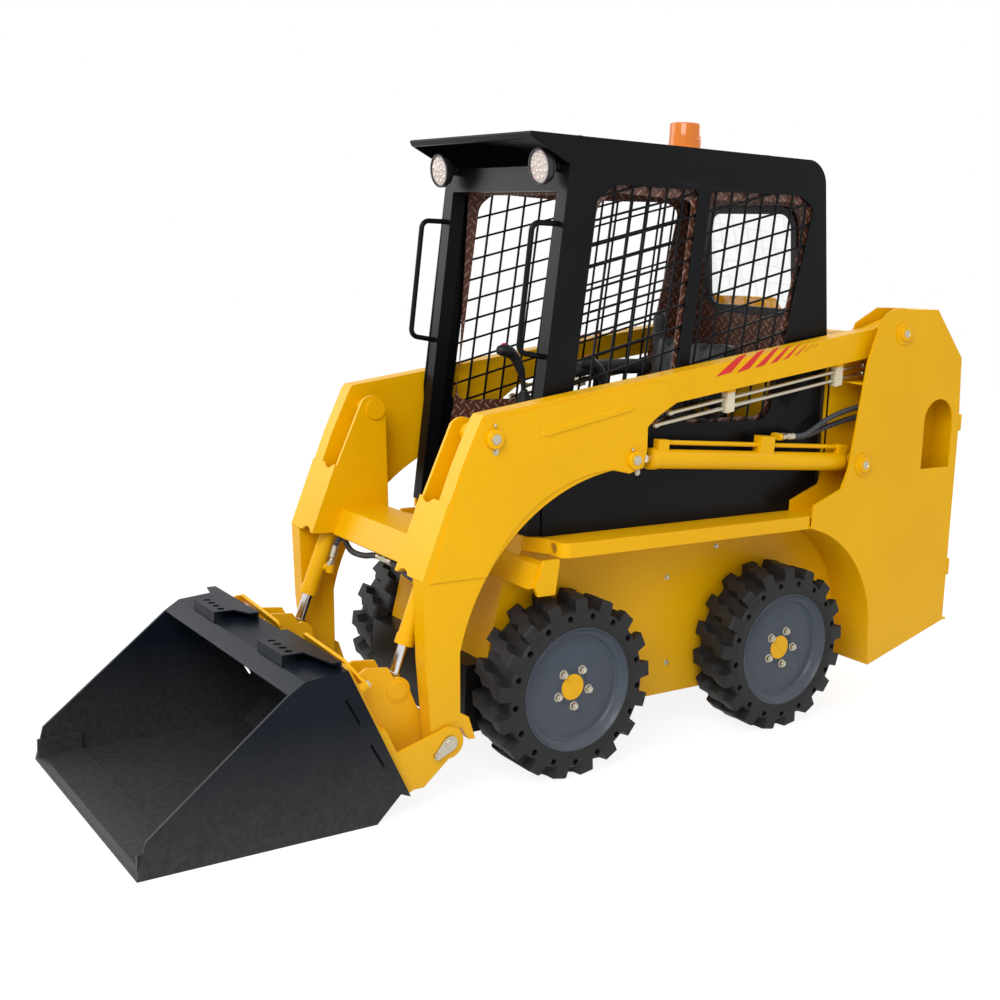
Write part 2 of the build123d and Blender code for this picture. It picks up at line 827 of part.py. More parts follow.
# Raised plate bolted on the roof
hatch_y = -60
hatch_length = 560
hatch_width = 480
hatch_height = 9
with BuildPart() as roof_hatch:
    with BuildSketch(level(roof_top_z + seat_gap)):
        with Locations((0, hatch_y)):
            RectangleRounded(hatch_width, hatch_length, 30)
    extrude(amount=hatch_height)
write(roof_hatch, "roof_hatch")

# Beacon on the roof
beacon_y = 292
beacon_radius = 62
beacon_base = 28
beacon_height = 98
with BuildPart() as beacon:
    for low_z, radius, height in (
        (roof_top_z, beacon_radius + 6, beacon_base),
        (roof_top_z + beacon_base, beacon_radius, beacon_height),
    ):
        with BuildSketch(level(low_z)):
            with Locations((0, beacon_y)):
                Circle(radius)
        extrude(amount=height)
    chamfer(beacon.faces().sort_by(Axis.Z)[-1].edges(), length=8)
write(beacon, "beacon")

# Work lamps under the visor: a bezel, cooling fins and the stub to the post
lamp_x = 307
lamp_y = -557
lamp_z = 1950
lamp_radius = 58
lamp_depth = 34
# Columns are place behind the lens, radius, thickness
lamp_table = [
    (12, lamp_radius, 12),
    (17, lamp_radius - 6, 3),
    (22, lamp_radius - 6, 3),
    (27, lamp_radius - 8, 3),
    (lamp_depth, 36, lamp_depth - 12),
    (67.3, 20, 40),
]
with BuildPart() as work_lamps:
    lamp_plane = Plane(origin=(lamp_x, mid_y + lamp_y, lamp_z), x_dir=(1, 0, 0), z_dir=(0, -1, -0.12))
    for back, radius, thickness in lamp_table:
        with BuildSketch(lamp_plane.offset(-back)):
            Circle(radius)
        extrude(amount=thickness)
    mirror(about=Plane.YZ)
write(work_lamps, "work_lamps")

# Grab handles on the front posts, a bent bar each
handle_x = 342
handle_radius = 9
handle_bend = 28
with BuildPart() as grab_handles:
    with BuildLine() as handle_path:
        FilletPolyline(
            (handle_x, mid_y - 486, 1777),
            (handle_x, mid_y - 599, 1777),
            (handle_x, mid_y - 634, 1374),
            (handle_x, mid_y - 538, 1359),
            radius=handle_bend,
        )
    with BuildSketch(Plane(origin=handle_path.line @ 0, z_dir=handle_path.line % 0)):
        Circle(handle_radius)
    sweep()
    with BuildSketch(side(side_inner_x - post_width)):
        Polygon(*post_outline, align=None)
    extrude(amount=post_width, mode=Mode.SUBTRACT)
    mirror(about=Plane.YZ)
write(grab_handles, "grab_handles")

# Seat: a folded box, the cushion and the back
seat_z = 1010
seat_y = 200
seat_box_y = 230
seat_box = 420
seat_box_slope = 60
cushion_height = 110
cushion_corner = 60
cushion_size = 460
with BuildPart() as seat_base:
    with BuildSketch(level(floor_z)):
        with Locations((0, seat_box_y)):
            Rectangle(seat_box, seat_box)
    extrude(amount=seat_z - seat_gap - floor_z)
    chamfer(seat_base.faces().sort_by(Axis.Z)[-1].edges().sort_by(Axis.Y)[0], length=seat_box_slope)
write(seat_base, "seat_base")
with BuildPart() as seat_cushion:
    with BuildSketch(level(seat_z)):
        with Locations((0, seat_y)):
            RectangleRounded(cushion_size, cushion_size, cushion_corner)
    extrude(amount=cushion_height)
    chamfer(seat_cushion.faces().sort_by(Axis.Z)[-1].edges(), length=24)
write(seat_cushion, "seat_cushion")
back_low_z = seat_z + cushion_height + seat_gap
back_half_width = 220
with BuildPart() as seat_back:
    with BuildSketch(side(-back_half_width)):
        Polygon(
            (400, back_low_z),
            (500, seat_z + 550),
            (420, seat_z + 565),
            (320, back_low_z),
            align=None,
        )
    extrude(amount=2 * back_half_width)
write(seat_back, "seat_back")

# Control levers on their consoles, one each side of the seat
console_width = 60
lever_radius = 11
stick_length = 250
with BuildPart() as control_levers:
    with BuildSketch(side(225)):
        Polygon(
            (-330, floor_z + seat_gap),
            (-120, floor_z + seat_gap),
            (-120, 1060),
            (-280, 1100),
            align=None,
        )
    extrude(amount=console_width)
    with BuildSketch(Plane(origin=(255, mid_y - 210, 1070), x_dir=(1, 0, 0), z_dir=(0, -0.35, 1))):
        Circle(lever_radius)
    extrude(amount=stick_length)
    mirror(about=Plane.YZ)
write(control_levers, "control_levers")

# Lift arms: one box section each, with the leg, the lift ear, the pivot end and welded plates
arm_top_front = (-839, 1184)
leg_front = [(-900, 1045), (-1023, 705), (-1006, 454), (-976, 198)]
wrap_high = (-936, 935)
wrap_low = (-1018, 705)
wrap_wall = 8
notch_radius = 40
notch_depth = 16
with BuildPart() as arm_left:
    with BuildSketch(side(arm_in_x)):
        with BuildLine():
            Polyline(
                (-330, 1000),
                (-262, 985),
                (-205, 1000),
                (-195, 1065),
                (-197, 1136),
                (-150, 1169),
                (-74, 1212),
                (356, 1277),
                (844, 1349),
                (990, 1385),
            )
            ThreePointArc((990, 1385), (arm_pivot[0] + arm_pivot_radius, arm_pivot[1]), (990, 1498))
            Polyline((990, 1498), (858, 1456), (-503, 1248), (-829, 1197), arm_top_front)
            Polyline(arm_top_front, *leg_front)
            ThreePointArc((-976, 198), (coupler_pivot[0], coupler_pivot[1] - leg_end_radius), (-876, 198))
            Polyline((-876, 198), (-887, 470))
            ThreePointArc((-887, 470), (-680, 840), (-330, 1000))
        make_face()
    extrude(amount=arm_width)
    # outer gusset plate over the front of the box, with its pressed rib
    with BuildSketch(side(arm_out_x)):
        with BuildLine():
            Polyline(
                (-150, 1175),
                (-197, 1136),
                (-195, 1065),
                (-205, 1003),
                (-262, 988),
                (-330, 1003),
            )
            ThreePointArc((-330, 1003), (-600, 925), (-800, 700))
            Polyline((-800, 700), (-1000, 700), (-896, 1045), (-832, 1178), (-503, 1236), (-190, 1282))
            ThreePointArc((-190, 1282), (-110, 1262), (-75, 1216))
            Line((-75, 1216), (-150, 1175))
        make_face()
    extrude(amount=gusset_wall)
    with BuildSketch(side(arm_out_x + gusset_wall)) as rib:
        Polygon((-634, 1139), (-253, 1217), (-264, 1192), (-603, 1122), align=None)
        fillet(rib.vertices(), radius=10)
    extrude(amount=gusset_wall, taper=30)
    # slot for the eye of the lift cylinder's rod
    with BuildSketch(side(arm_in_x + lift_ear_wall)):
        with Locations(lift_eye):
            Circle(78)
        Polygon((-250, 960), (-150, 960), (-150, 1104), (-250, 1104), align=None)
    extrude(amount=arm_width - 2 * lift_ear_wall, mode=Mode.SUBTRACT)
    # holes for the pins
    for place, pin_radius in ((arm_pivot, arm_pin_radius), (coupler_pivot, cylinder_pin_radius)):
        with BuildSketch(side(arm_in_x)):
            with Locations(place):
                Circle(pin_radius + pin_clearance)
        extrude(amount=arm_width, mode=Mode.SUBTRACT)
    # inner bracket plate that carries the top of the tilt cylinder
    with BuildSketch(side(bracket_in_x)):
        with BuildLine():
            Polyline((-755, 1125), (-735, 790), (-735, 764), (-900, 700), wrap_low, wrap_high, (-846, 1152))
            ThreePointArc((-846, 1152), (-790, 1170), (-755, 1125))
        make_face()
    extrude(amount=bracket_wall)
    with BuildSketch(side(bracket_in_x - 6)):
        with Locations(tilt_top):
            Circle(36)
    extrude(amount=6)
    # wrap plate across the front from the bracket to the leg, notched for the cylinder
    wrap_plane = Plane(
        origin=(0, mid_y + wrap_low[0], wrap_low[1]),
        x_dir=(1, 0, 0),
        z_dir=(0, wrap_low[1] - wrap_high[1], wrap_high[0] - wrap_low[0]),
    )
    wrap_length = distance(wrap_low, wrap_high)
    with BuildSketch(wrap_plane):
        with Locations((bracket_in_x, 0)):
            Rectangle(arm_out_x - bracket_in_x, wrap_length, align=(Align.MIN, Align.MIN))
        with Locations(
            (tilt_x, -notch_radius + notch_depth),
            (tilt_x, wrap_length + notch_radius - notch_depth),
        ):
            Circle(notch_radius, mode=Mode.SUBTRACT)
    extrude(amount=wrap_wall)
    # stop block behind the foot of the leg
    with BuildSketch(side(arm_out_x - 30)):
        Polygon((-890, 285), (-848, 262), (-822, 188), (-846, 190), (-878, 238), (-890, 240), align=None)
    extrude(amount=30)
write(arm_left, "arm_left")
with BuildPart() as arm_right:
    mirror(arm_left.part, about=Plane.YZ)
write(arm_right, "arm_right")

# Cross member between the brackets, a bent plate with a top flange and a lip
member_wall = 10
with BuildPart() as cross_member:
    with BuildSketch(side(-bracket_in_x + seat_gap)):
        Polygon(
            (-947, 700),
            (-912, 784),
            (-758, 788),
            (-758, 750),
            (-758 - member_wall, 750),
            (-758 - member_wall, 788 - member_wall),
            (-905, 784 - member_wall),
            (-937, 706),
            (-860, 706),
            (-860, 696),
            (-945, 696),
            align=None,
        )
    extrude(amount=2 * (bracket_in_x - seat_gap))
write(cross_member, "cross_member")

# Arm pins: the tilt cylinders' top pins and the bosses on the outside of the arms
arm_boss_radius = 30
arm_boss_height = 14
with BuildPart() as arm_pins:
    with BuildSketch(side(bracket_in_x + bracket_wall)):
        with Locations(tilt_top):
            Circle(cylinder_pin_radius)
    extrude(amount=arm_in_x - bracket_in_x - bracket_wall)
    for place in (tilt_top, lift_eye):
        for radius, height in ((arm_boss_radius, arm_boss_height), (cylinder_pin_radius, arm_boss_height + 3)):
            with BuildSketch(side(arm_out_x + gusset_wall + seat_gap)):
                with Locations(place):
                    Circle(radius)
            extrude(amount=height)
    mirror(about=Plane.YZ)
write(arm_pins, "arm_pins")

# Cylinders are drawn along their own axis
# Columns are name, x, base pin, rod pin, barrel radius, rod radius, stroke, gap from nose to rod pin
cylinder_table = [
    ("lift", lift_x, lift_base, lift_eye, lift_barrel_radius, lift_rod_radius, lift_stroke, lift_nose),
    ("tilt", tilt_x, tilt_top, tilt_eye, tilt_barrel_radius, tilt_rod_radius, tilt_stroke, tilt_nose),
]
neck_radius = 22
neck_length = 12
# Blocks on the barrels: columns are cylinder, start along the barrel, length, low and high offset, width
port_table = [
    ("lift", 36, 46, 20, 66, 30),
    ("lift", 420, 66, 14, 88, 40),
    ("lift", 905, 46, 20, 66, 30),
]
pipe_offset = 56
pipe_radius = 8
pipe_start = 60
pipe_length = 860
elbow_back = 95
elbow_radius = 13
elbow_height = 26
for name, x, base, eye, barrel_radius, rod_radius, stroke, nose in cylinder_table:
    length = distance(base, eye)
    plane = along(x, base, eye)
    line = Axis(plane.origin, plane.x_dir)
    bore_radius = barrel_radius - cylinder_wall
    with BuildPart() as barrel:
        with BuildSketch(plane):
            with BuildLine():
                Polyline(
                    (eye_radius - 6, 0),
                    (eye_radius - 6, 16),
                    (eye_radius + 20, barrel_radius),
                    (length - nose - nose_length, barrel_radius),
                    (length - nose - nose_length, barrel_radius + nose_collar),
                    (length - nose, barrel_radius + nose_collar),
                    (length - nose, 0),
                    close=True,
                )
            make_face()
        revolve(axis=line)
        for owner, start, block_length, low, high, width in port_table:
            if owner == name:
                with BuildSketch(plane.offset(-width / 2)):
                    with Locations((start, -high)):
                        Rectangle(block_length, high - low, align=(Align.MIN, Align.MIN))
                extrude(amount=width)
        if name == "lift":
            pipe_end = plane.from_local_coords((pipe_start, -pipe_offset, 0))
            with BuildSketch(Plane(origin=pipe_end, z_dir=plane.x_dir)):
                Circle(pipe_radius)
            extrude(amount=pipe_length)
        else:
            elbow_place = plane.from_local_coords((length - nose - elbow_back, 0, 0))
            with BuildSketch(Plane(origin=elbow_place, z_dir=(-0.7, 0.7, 0.15))):
                Circle(elbow_radius)
            extrude(amount=barrel_radius + elbow_height)
        with BuildSketch(plane):
            with BuildLine():
                Polyline(
                    (eye_radius + 26, 0),
                    (eye_radius + 26, bore_radius),
                    (length - nose - nose_length, bore_radius),
                    (length - nose - nose_length, rod_radius + pin_clearance),
                    (length - nose + 1, rod_radius + pin_clearance),
                    (length - nose + 1, 0),
                    close=True,
                )
            make_face()
        revolve(axis=line, mode=Mode.SUBTRACT)
        with BuildSketch(plane.offset(-eye_width / 2)):
            Circle(eye_radius)
        extrude(amount=eye_width)
        with BuildSketch(plane.offset(-eye_width / 2)):
            Circle(cylinder_pin_radius + pin_clearance)
        extrude(amount=eye_width, mode=Mode.SUBTRACT)
        mirror(about=Plane.YZ)
    write(barrel, name + "_barrels")
    with BuildPart() as rod:
        with BuildSketch(plane):
            with BuildLine():
                Polyline(
                    (length - nose - stroke - 60, 0),
                    (length - nose - stroke - 60, bore_radius - seat_gap),
                    (length - nose - stroke - 35, bore_radius - seat_gap),
                    (length - nose - stroke - 35, rod_radius),
                    (length - eye_radius + 6, rod_radius),
                    (length - eye_radius + 6, 0),
                    close=True,
                )
            make_face()
        revolve(axis=line)
        if name == "tilt":
            neck_start = plane.from_local_coords((length - eye_radius - neck_length, 0, 0))
            with BuildSketch(Plane(origin=neck_start, z_dir=plane.x_dir)):
                Circle(neck_radius)
            extrude(amount=neck_length)
        eye_plane = Plane(origin=(x, mid_y + eye[0], eye[1]), x_dir=plane.x_dir, z_dir=(1, 0, 0))
        with BuildSketch(eye_plane.offset(-eye_width / 2)):
            Circle(eye_radius)
        extrude(amount=eye_width)
        mirror(about=Plane.YZ)
    write(rod, name + "_rods")

# Back of the bucket, and a point square behind it
back_low = (-1066, 64)
back_high = (-1280, 486)
back_length = distance(back_low, back_high)


def behind(point, gap):
    return (
        point[0] + gap * (back_high[1] - back_low[1]) / back_length,
        point[1] + gap * (back_low[0] - back_high[0]) / back_length,
    )


# A plane behind the bucket's back, its y up along the back from the low corner
def back_plane(gap):
    low = behind(back_low, gap)
    return Plane(
        origin=(0, mid_y + low[0], low[1]),
        x_dir=(-1, 0, 0),
        z_dir=(0, back_high[1] - back_low[1], back_low[0] - back_high[0]),
    )


# Latch levers lie behind the back: columns are pivot's x towards the right, height along the back, turn
lever_width = 32
lever_wall = 10
lever_gap = 22
lever_crank = 100
lever_length = 240
lever_bend = 26
lever_table = [
    (-452, 374, 31),
    (452, 425, 162),
]

# Coupler: ears at each leg, plates for the tilt rods, side frames and a low cross plate
ear_out_x = arm_out_x + clearance
rod_side = tilt_barrel_radius + nose_collar + clearance
rod_plate_out_x = tilt_x + rod_side
rod_plate_in_x = tilt_x - rod_side - coupler_plate
coupler_out_x = ear_out_x + coupler_plate
frame_depth = 26
plate_outline = [
    (-1100, 84),
    (-1240, 394),
    (-1167, 442),
    (-1092, 434),
    (-1072, 398),
    (-1016, 352),
    (-996, 307),
    (-972, 268),
    (-930, 252),
    (-882, 222),
    (-878, 180),
    (-900, 150),
]
with BuildPart() as coupler:
    with BuildSketch(side(ear_out_x)):
        Polygon((-1140, 180), (-1090, 202), (-926, 249), (-926, 148), (-1011, 74), (-1080, 74), align=None)
        with Locations(coupler_pivot):
            Circle(leg_end_radius)
    extrude(amount=coupler_plate)
    for low_x in (rod_plate_in_x, rod_plate_out_x):
        with BuildSketch(side(low_x)):
            Polygon(*plate_outline, align=None)
            with Locations(tilt_eye):
                Circle(eye_radius + 8)
        extrude(amount=coupler_plate)
    # bosses beside the rod's eye and on the outer plate
    for low_x, high_x, radius in (
        (rod_plate_in_x + coupler_plate, tilt_x - eye_width / 2 - pin_side_gap, eye_radius - 4),
        (tilt_x + eye_width / 2 + pin_side_gap, rod_plate_out_x, eye_radius - 4),
        (rod_plate_out_x + coupler_plate, rod_plate_out_x + coupler_plate + clearance - 1, eye_radius - 9),
    ):
        with BuildSketch(side(low_x)):
            with Locations(tilt_eye):
                Circle(radius)
        extrude(amount=high_x - low_x)
    # side frame behind the bucket
    with BuildSketch(side(rod_plate_in_x)):
        Polygon(
            behind(back_low, seat_gap), behind(back_high, seat_gap),
            behind(back_high, coupler_plate), behind(back_low, coupler_plate), align=None,
        )
    extrude(amount=coupler_out_x - rod_plate_in_x)
    with BuildSketch(side(rod_plate_out_x)):
        Polygon(
            behind(back_low, seat_gap), behind((-1170, 270), seat_gap),
            behind((-1170, 270), frame_depth), behind(back_low, frame_depth), align=None,
        )
    extrude(amount=coupler_out_x - rod_plate_out_x)
    mirror(about=Plane.YZ)
    # bosses that carry the latch levers
    for x, up, turn in lever_table:
        with BuildSketch(back_plane(coupler_plate)):
            with Locations((x, up)):
                Circle(lever_width / 2)
        extrude(amount=lever_gap - seat_gap)
    # low cross plate and its bent edge
    with BuildSketch(side(-rod_plate_in_x)):
        Polygon(
            behind(back_low, seat_gap), behind((-1170, 270), seat_gap), behind((-1170, 270), 60),
            behind((-1164, 258), 60), behind((-1164, 258), coupler_plate), behind(back_low, coupler_plate),
            align=None,
        )
    extrude(amount=2 * rod_plate_in_x)
    with BuildSketch(side(-coupler_out_x)):
        Polygon(
            (back_low[0] + 200, 0), (back_low[0] - 8, 0), behind(back_low, seat_gap),
            behind(back_high, seat_gap), (-1500, 600), (-1500, 0), align=None,
        )
    extrude(amount=2 * coupler_out_x, mode=Mode.SUBTRACT)
    with BuildSketch(side(-coupler_out_x)):
        with Locations(coupler_pivot):
            Circle(cylinder_pin_radius + pin_clearance)
    extrude(amount=2 * coupler_out_x, mode=Mode.SUBTRACT)
write(coupler, "coupler")

# Pivot pins of the coupler, each with the flag that holds it
flag_bolt = (-969, 166)
flag_wall = 8
with BuildPart() as coupler_pins:
    with BuildSketch(side(rod_plate_out_x)):
        with Locations(coupler_pivot):
            Circle(cylinder_pin_radius)
    extrude(amount=coupler_out_x + flag_wall - rod_plate_out_x)
    with BuildSketch(side(coupler_out_x + seat_gap)):
        with Locations(coupler_pivot):
            Circle(24)
        with Locations(flag_bolt):
            Circle(12)
        make_hull()
    extrude(amount=flag_wall)
    mirror(about=Plane.YZ)
write(coupler_pins, "coupler_pins")

# Bucket: shell with sides, weld slots, cutting edge and side cutters
cutter_length = 140
cutter_height = 44
cutter_wall = 12
edge_length = 150
step_wall = 5
step_z = 510
step_in_x = 171
step_out_x = 349
step_front_y = -1416
step_tread = 66
step_rear_y = -1292
step_front_z = 474.4
step_rear_z = 485.3
wing_in_x = 110
wing_out_x = 480
wing_front_y = -1322
step_hole_radius = 12
step_hole_pitch = 40
# Weld slots in each side: columns are start and end of the slot
slot_table = [
    ((-1287, 400), (-1240, 319)),
    ((-1204, 251), (-1158, 174)),
]
with BuildPart() as bucket_shell:
    with BuildSketch(side(-bucket_half_width)):
        Polygon(
            (-lip_reach, 0), (-1862, 106), (-1463, 441), (-1412, 474), back_high, back_low, (-1100, 78),
            (-1177, 0),
            align=None,
        )
    extrude(amount=2 * bucket_half_width)
    with BuildSketch(side(-bucket_half_width + bucket_side)):
        Polygon(
            (-1900, bucket_floor), (-1900, 120), (-1463, 460), (-1463, 441), (-1412, 466), (-1285, 478),
            (-1090, 92), (-1104, 89), (-1184, bucket_floor),
            align=None,
        )
    extrude(amount=2 * (bucket_half_width - bucket_side), mode=Mode.SUBTRACT)
    # cutting edge on the floor's front
    with BuildSketch(side(-bucket_half_width + bucket_side)):
        Polygon(
            (-lip_reach + 4, bucket_floor), (-lip_reach + 20, bucket_floor + 6),
            (-lip_reach + edge_length, bucket_floor + 6), (-lip_reach + edge_length, bucket_floor), align=None,
        )
    extrude(amount=2 * (bucket_half_width - bucket_side))
    # side cutters inside the front corners
    for cutter_x in (-bucket_half_width + bucket_side, bucket_half_width - bucket_side - cutter_wall):
        with BuildSketch(side(cutter_x)):
            with Locations((-lip_reach + 4, bucket_floor)):
                Rectangle(cutter_length, cutter_height + 16, align=(Align.MIN, Align.MIN))
        extrude(amount=cutter_wall)
    # weld slots through the sides
    for start, end in slot_table:
        with BuildSketch(along(-bucket_half_width, start, end)):
            with Locations((distance(start, end) / 2, 0)):
                Rectangle(distance(start, end), 8)
        extrude(amount=2 * bucket_half_width, mode=Mode.SUBTRACT)
write(bucket_shell, "bucket_shell")

# Steps on the bucket's top: a bent plate on each side, wider at its rear, with a row of holes
with BuildPart() as bucket_steps:
    with BuildSketch(level(step_z - step_wall)):
        Polygon(
            (step_in_x, step_front_y),
            (step_out_x, step_front_y),
            (step_out_x, step_front_y + step_tread),
            (wing_out_x, wing_front_y),
            (wing_out_x, step_rear_y),
            (wing_in_x, step_rear_y),
            (wing_in_x, wing_front_y),
            (step_in_x, step_front_y + step_tread),
            align=None,
        )
        with Locations(((step_in_x + step_out_x) / 2, step_front_y + step_tread / 2)):
            with GridLocations(step_hole_pitch, 1, 4, 1):
                Circle(step_hole_radius, mode=Mode.SUBTRACT)
    extrude(amount=step_wall)
    # front and rear legs: columns are low x, high x, front edge, low z
    for low_x, high_x, front_y, low_z in (
        (step_in_x, step_out_x, step_front_y, step_front_z),
        (wing_in_x, wing_out_x, step_rear_y - step_wall, step_rear_z),
    ):
        with BuildSketch(level(low_z)):
            with Locations((low_x, front_y)):
                Rectangle(high_x - low_x, step_wall, align=(Align.MIN, Align.MIN))
        extrude(amount=step_z - step_wall - low_z)
    mirror(about=Plane.YZ)
write(bucket_steps, "bucket_steps")

# Latch levers: a flat bar each, bent once, turned about its boss
with BuildPart() as latch_levers:
    for x, up, turn in lever_table:
        hand = 1 if x < 0 else -1
        bend = (lever_crank * cos(radians(turn)), lever_crank * sin(radians(turn)))
        tip_turn = turn - hand * lever_bend
        tip = (
            bend[0] + lever_length * cos(radians(tip_turn)),
            bend[1] + lever_length * sin(radians(tip_turn)),
        )
        with BuildSketch(back_plane(coupler_plate + lever_gap)):
            with BuildLine():
                Polyline((x, up), (x + bend[0], up + bend[1]), (x + tip[0], up + tip[1]))
                offset(amount=lever_width / 2, kind=Kind.TANGENT)
            make_face()
        extrude(amount=lever_wall)
write(latch_levers, "latch_levers")

# Steel tubes under the rear of each arm: columns are front end and rear end
tube_radius = 7
tube_x = 431
tube_table = [
    ((-90, 1172), (905, 1330)),
    ((-150, 1133), (905, 1298)),
]
with BuildPart() as arm_tubes:
    for front, rear in tube_table:
        with BuildSketch(Plane(origin=(tube_x, mid_y + front[0], front[1]), z_dir=along(0, front, rear).x_dir)):
            Circle(tube_radius)
        extrude(amount=distance(front, rear))
    mirror(about=Plane.YZ)
write(arm_tubes, "arm_tubes")

# Clamps that hold the tubes under each arm: columns are place along the arm, underside of the arm there
clamp_table = [
    (183, 1250.8),
    (713, 1329.6),
]
clamp_length = 34
clamp_depth = 82
clamp_width = 30
clamp_slope = 5
with BuildPart() as tube_clamps:
    for place_y, under_z in clamp_table:
        with BuildSketch(side(tube_x - clamp_width / 2)):
            Polygon(
                (place_y - clamp_length / 2, under_z - clamp_slope / 2 - seat_gap),
                (place_y + clamp_length / 2, under_z + clamp_slope / 2 - seat_gap),
                (place_y + clamp_length / 2, under_z + clamp_slope / 2 - clamp_depth),
                (place_y - clamp_length / 2, under_z - clamp_slope / 2 - clamp_depth),
                align=None,
            )
        extrude(amount=clamp_width)
    for front, rear in tube_table:
        with BuildSketch(Plane(origin=(tube_x, mid_y + front[0], front[1]), z_dir=along(0, front, rear).x_dir)):
            Circle(tube_radius + pin_clearance)
        extrude(amount=distance(front, rear), mode=Mode.SUBTRACT)
    mirror(about=Plane.YZ)
write(tube_clamps, "tube_clamps")
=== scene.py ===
from math import asin, cos, pi, radians, sin
import bmesh
import bpy
from mathutils import Matrix, Vector


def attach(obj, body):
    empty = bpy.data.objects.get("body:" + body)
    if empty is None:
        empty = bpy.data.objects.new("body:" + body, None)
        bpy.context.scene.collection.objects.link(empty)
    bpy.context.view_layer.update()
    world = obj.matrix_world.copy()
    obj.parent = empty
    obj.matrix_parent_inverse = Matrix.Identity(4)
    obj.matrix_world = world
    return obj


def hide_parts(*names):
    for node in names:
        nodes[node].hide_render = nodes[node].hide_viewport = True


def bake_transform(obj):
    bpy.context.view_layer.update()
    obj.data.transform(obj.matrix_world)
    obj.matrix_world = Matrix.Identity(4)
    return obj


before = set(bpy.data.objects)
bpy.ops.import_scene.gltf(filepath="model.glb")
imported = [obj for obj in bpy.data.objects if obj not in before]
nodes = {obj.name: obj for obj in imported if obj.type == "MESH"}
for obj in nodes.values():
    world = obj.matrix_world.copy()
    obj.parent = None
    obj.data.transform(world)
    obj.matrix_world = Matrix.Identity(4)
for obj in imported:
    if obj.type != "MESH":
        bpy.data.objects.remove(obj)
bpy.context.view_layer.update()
wheelbaseMiddle = 0.257  # where the side view's y is 0, in the frame's own y
print("frame loaded", len(nodes), "nodes")


# Photo camera: a standing person's height, ahead and to the machine's left
photoCamera = {
    "place": (3.834, -2.717, 1.697), "heading": 143.607, "down": 8.491, "roll": 2.478,
    "lens": 48.41, "shift": (-0.0743, -0.0489),
}


def aimCamera(place, heading, down, roll, lens, shift):
    heading, down, roll = radians(heading), radians(down), radians(roll)
    ahead = Vector((cos(heading) * cos(down), sin(heading) * cos(down), -sin(down)))
    right = ahead.cross(Vector((0, 0, 1))).normalized()
    up = right.cross(ahead)
    turned = (right * cos(roll) + up * sin(roll), up * cos(roll) - right * sin(roll), -ahead)
    bpy.ops.object.camera_add(location=place)
    camera = bpy.context.object
    camera.name = "photoCamera"
    camera.rotation_euler = Matrix(turned).transposed().to_euler()
    camera.data.lens, camera.data.clip_end = lens, 60
    camera.data.shift_x, camera.data.shift_y = shift
    bpy.context.scene.camera = camera


aimCamera(**photoCamera)


# Colours are written as on a screen and turned linear here
def colour(code):
    parts = [int(code[place:place + 2], 16) / 255 for place in (1, 3, 5)]
    return (*(part / 12.92 if part <= 0.04045 else ((part + 0.055) / 1.055) ** 2.4 for part in parts), 1)


# Adds one shader node: an input is a value, a colour code, another node or one of its outputs
def addNode(tree, kind, inputs, **settings):
    made = tree.nodes.new("ShaderNode" + kind)
    for key, value in settings.items():
        setattr(made, key, value)
    for key, value in inputs.items():
        if isinstance(value, bpy.types.Node):
            value = next(output for output in value.outputs if output.enabled)
        if isinstance(value, bpy.types.NodeSocket):
            tree.links.new(value, made.inputs[key])
        else:
            made.inputs[key].default_value = colour(value) if isinstance(value, str) else value
    return made


# An empty material, its nodes and the place of each point on the piece
def newMaterial(name):
    made = bpy.data.materials.new(name)
    made.use_nodes = True
    made.node_tree.nodes.clear()
    return made, made.node_tree, addNode(made.node_tree, "TexCoord", {}).outputs["Object"]


# The shader and the output that end a material
def endMaterial(tree, inputs):
    addNode(tree, "OutputMaterial", {"Surface": addNode(tree, "BsdfPrincipled", inputs)})


# Mottled colour, a finer skin that gives relief, and edges rounded by a bevel; sizes are in metres
def grainedSurface(name, shaderInputs, look, details, relief, glossBy, gloss, skinRoughness=0.5):
    made, tree, place = newMaterial(name)
    noises = {
        "mottle": addNode(tree, "TexNoise", {"Vector": place, "Scale": 1 / look["mottle"], "Detail": details[0]}),
        "skin": addNode(tree, "TexNoise", {
            "Vector": place, "Scale": 1 / look["grain"], "Detail": details[1], "Roughness": skinRoughness,
        }),
    }
    tint = addNode(tree, "Mix", {"Factor": noises["mottle"], "A": look["dark"], "B": look["light"]}, data_type="RGBA")
    if "dust" in look:
        # pale dust in patches of about 18 mm, thickest at the ground
        height = addNode(tree, "SeparateXYZ", {"Vector": place}).outputs["Z"]
        low = addNode(tree, "MapRange", {"Value": height, "From Min": look["dustTop"], "From Max": 0})
        speck = addNode(tree, "TexNoise", {"Vector": place, "Scale": 55, "Detail": 6, "Roughness": 0.7})
        dusty = addNode(tree, "Math", {0: low, 1: speck}, operation="MULTIPLY")
        share = addNode(tree, "Math", {0: dusty, 1: look["dust"]}, operation="MULTIPLY")
        tint = addNode(tree, "Mix", {"Factor": share, "A": tint, "B": "#8F887C"}, data_type="RGBA")
    least, most = gloss
    shine = addNode(tree, "MapRange", {"Value": noises[glossBy], "To Min": least, "To Max": most})
    rounded = addNode(tree, "Bevel", {"Radius": look["edge"]}, samples=4)
    bump = addNode(tree, "Bump", {
        "Strength": look["bump"], "Distance": relief, "Height": noises["skin"], "Normal": rounded,
    })
    endMaterial(tree, {**shaderInputs, "Base Color": tint, "Roughness": shine, "Normal": bump})
    return made


# Sprayed paint on steel: orange peel of about 1 mm, drawn coarser so that it shows
def paintedSteel(name, roughness, coat, shine, **look):
    return grainedSurface(name, {
        "Metallic": 0, "IOR": 1.5, "Specular IOR Level": shine, "Coat Weight": coat, "Coat Roughness": 0.12,
    }, look, (3, 2), 0.0006, "mottle", (roughness - 0.04, roughness + 0.06))


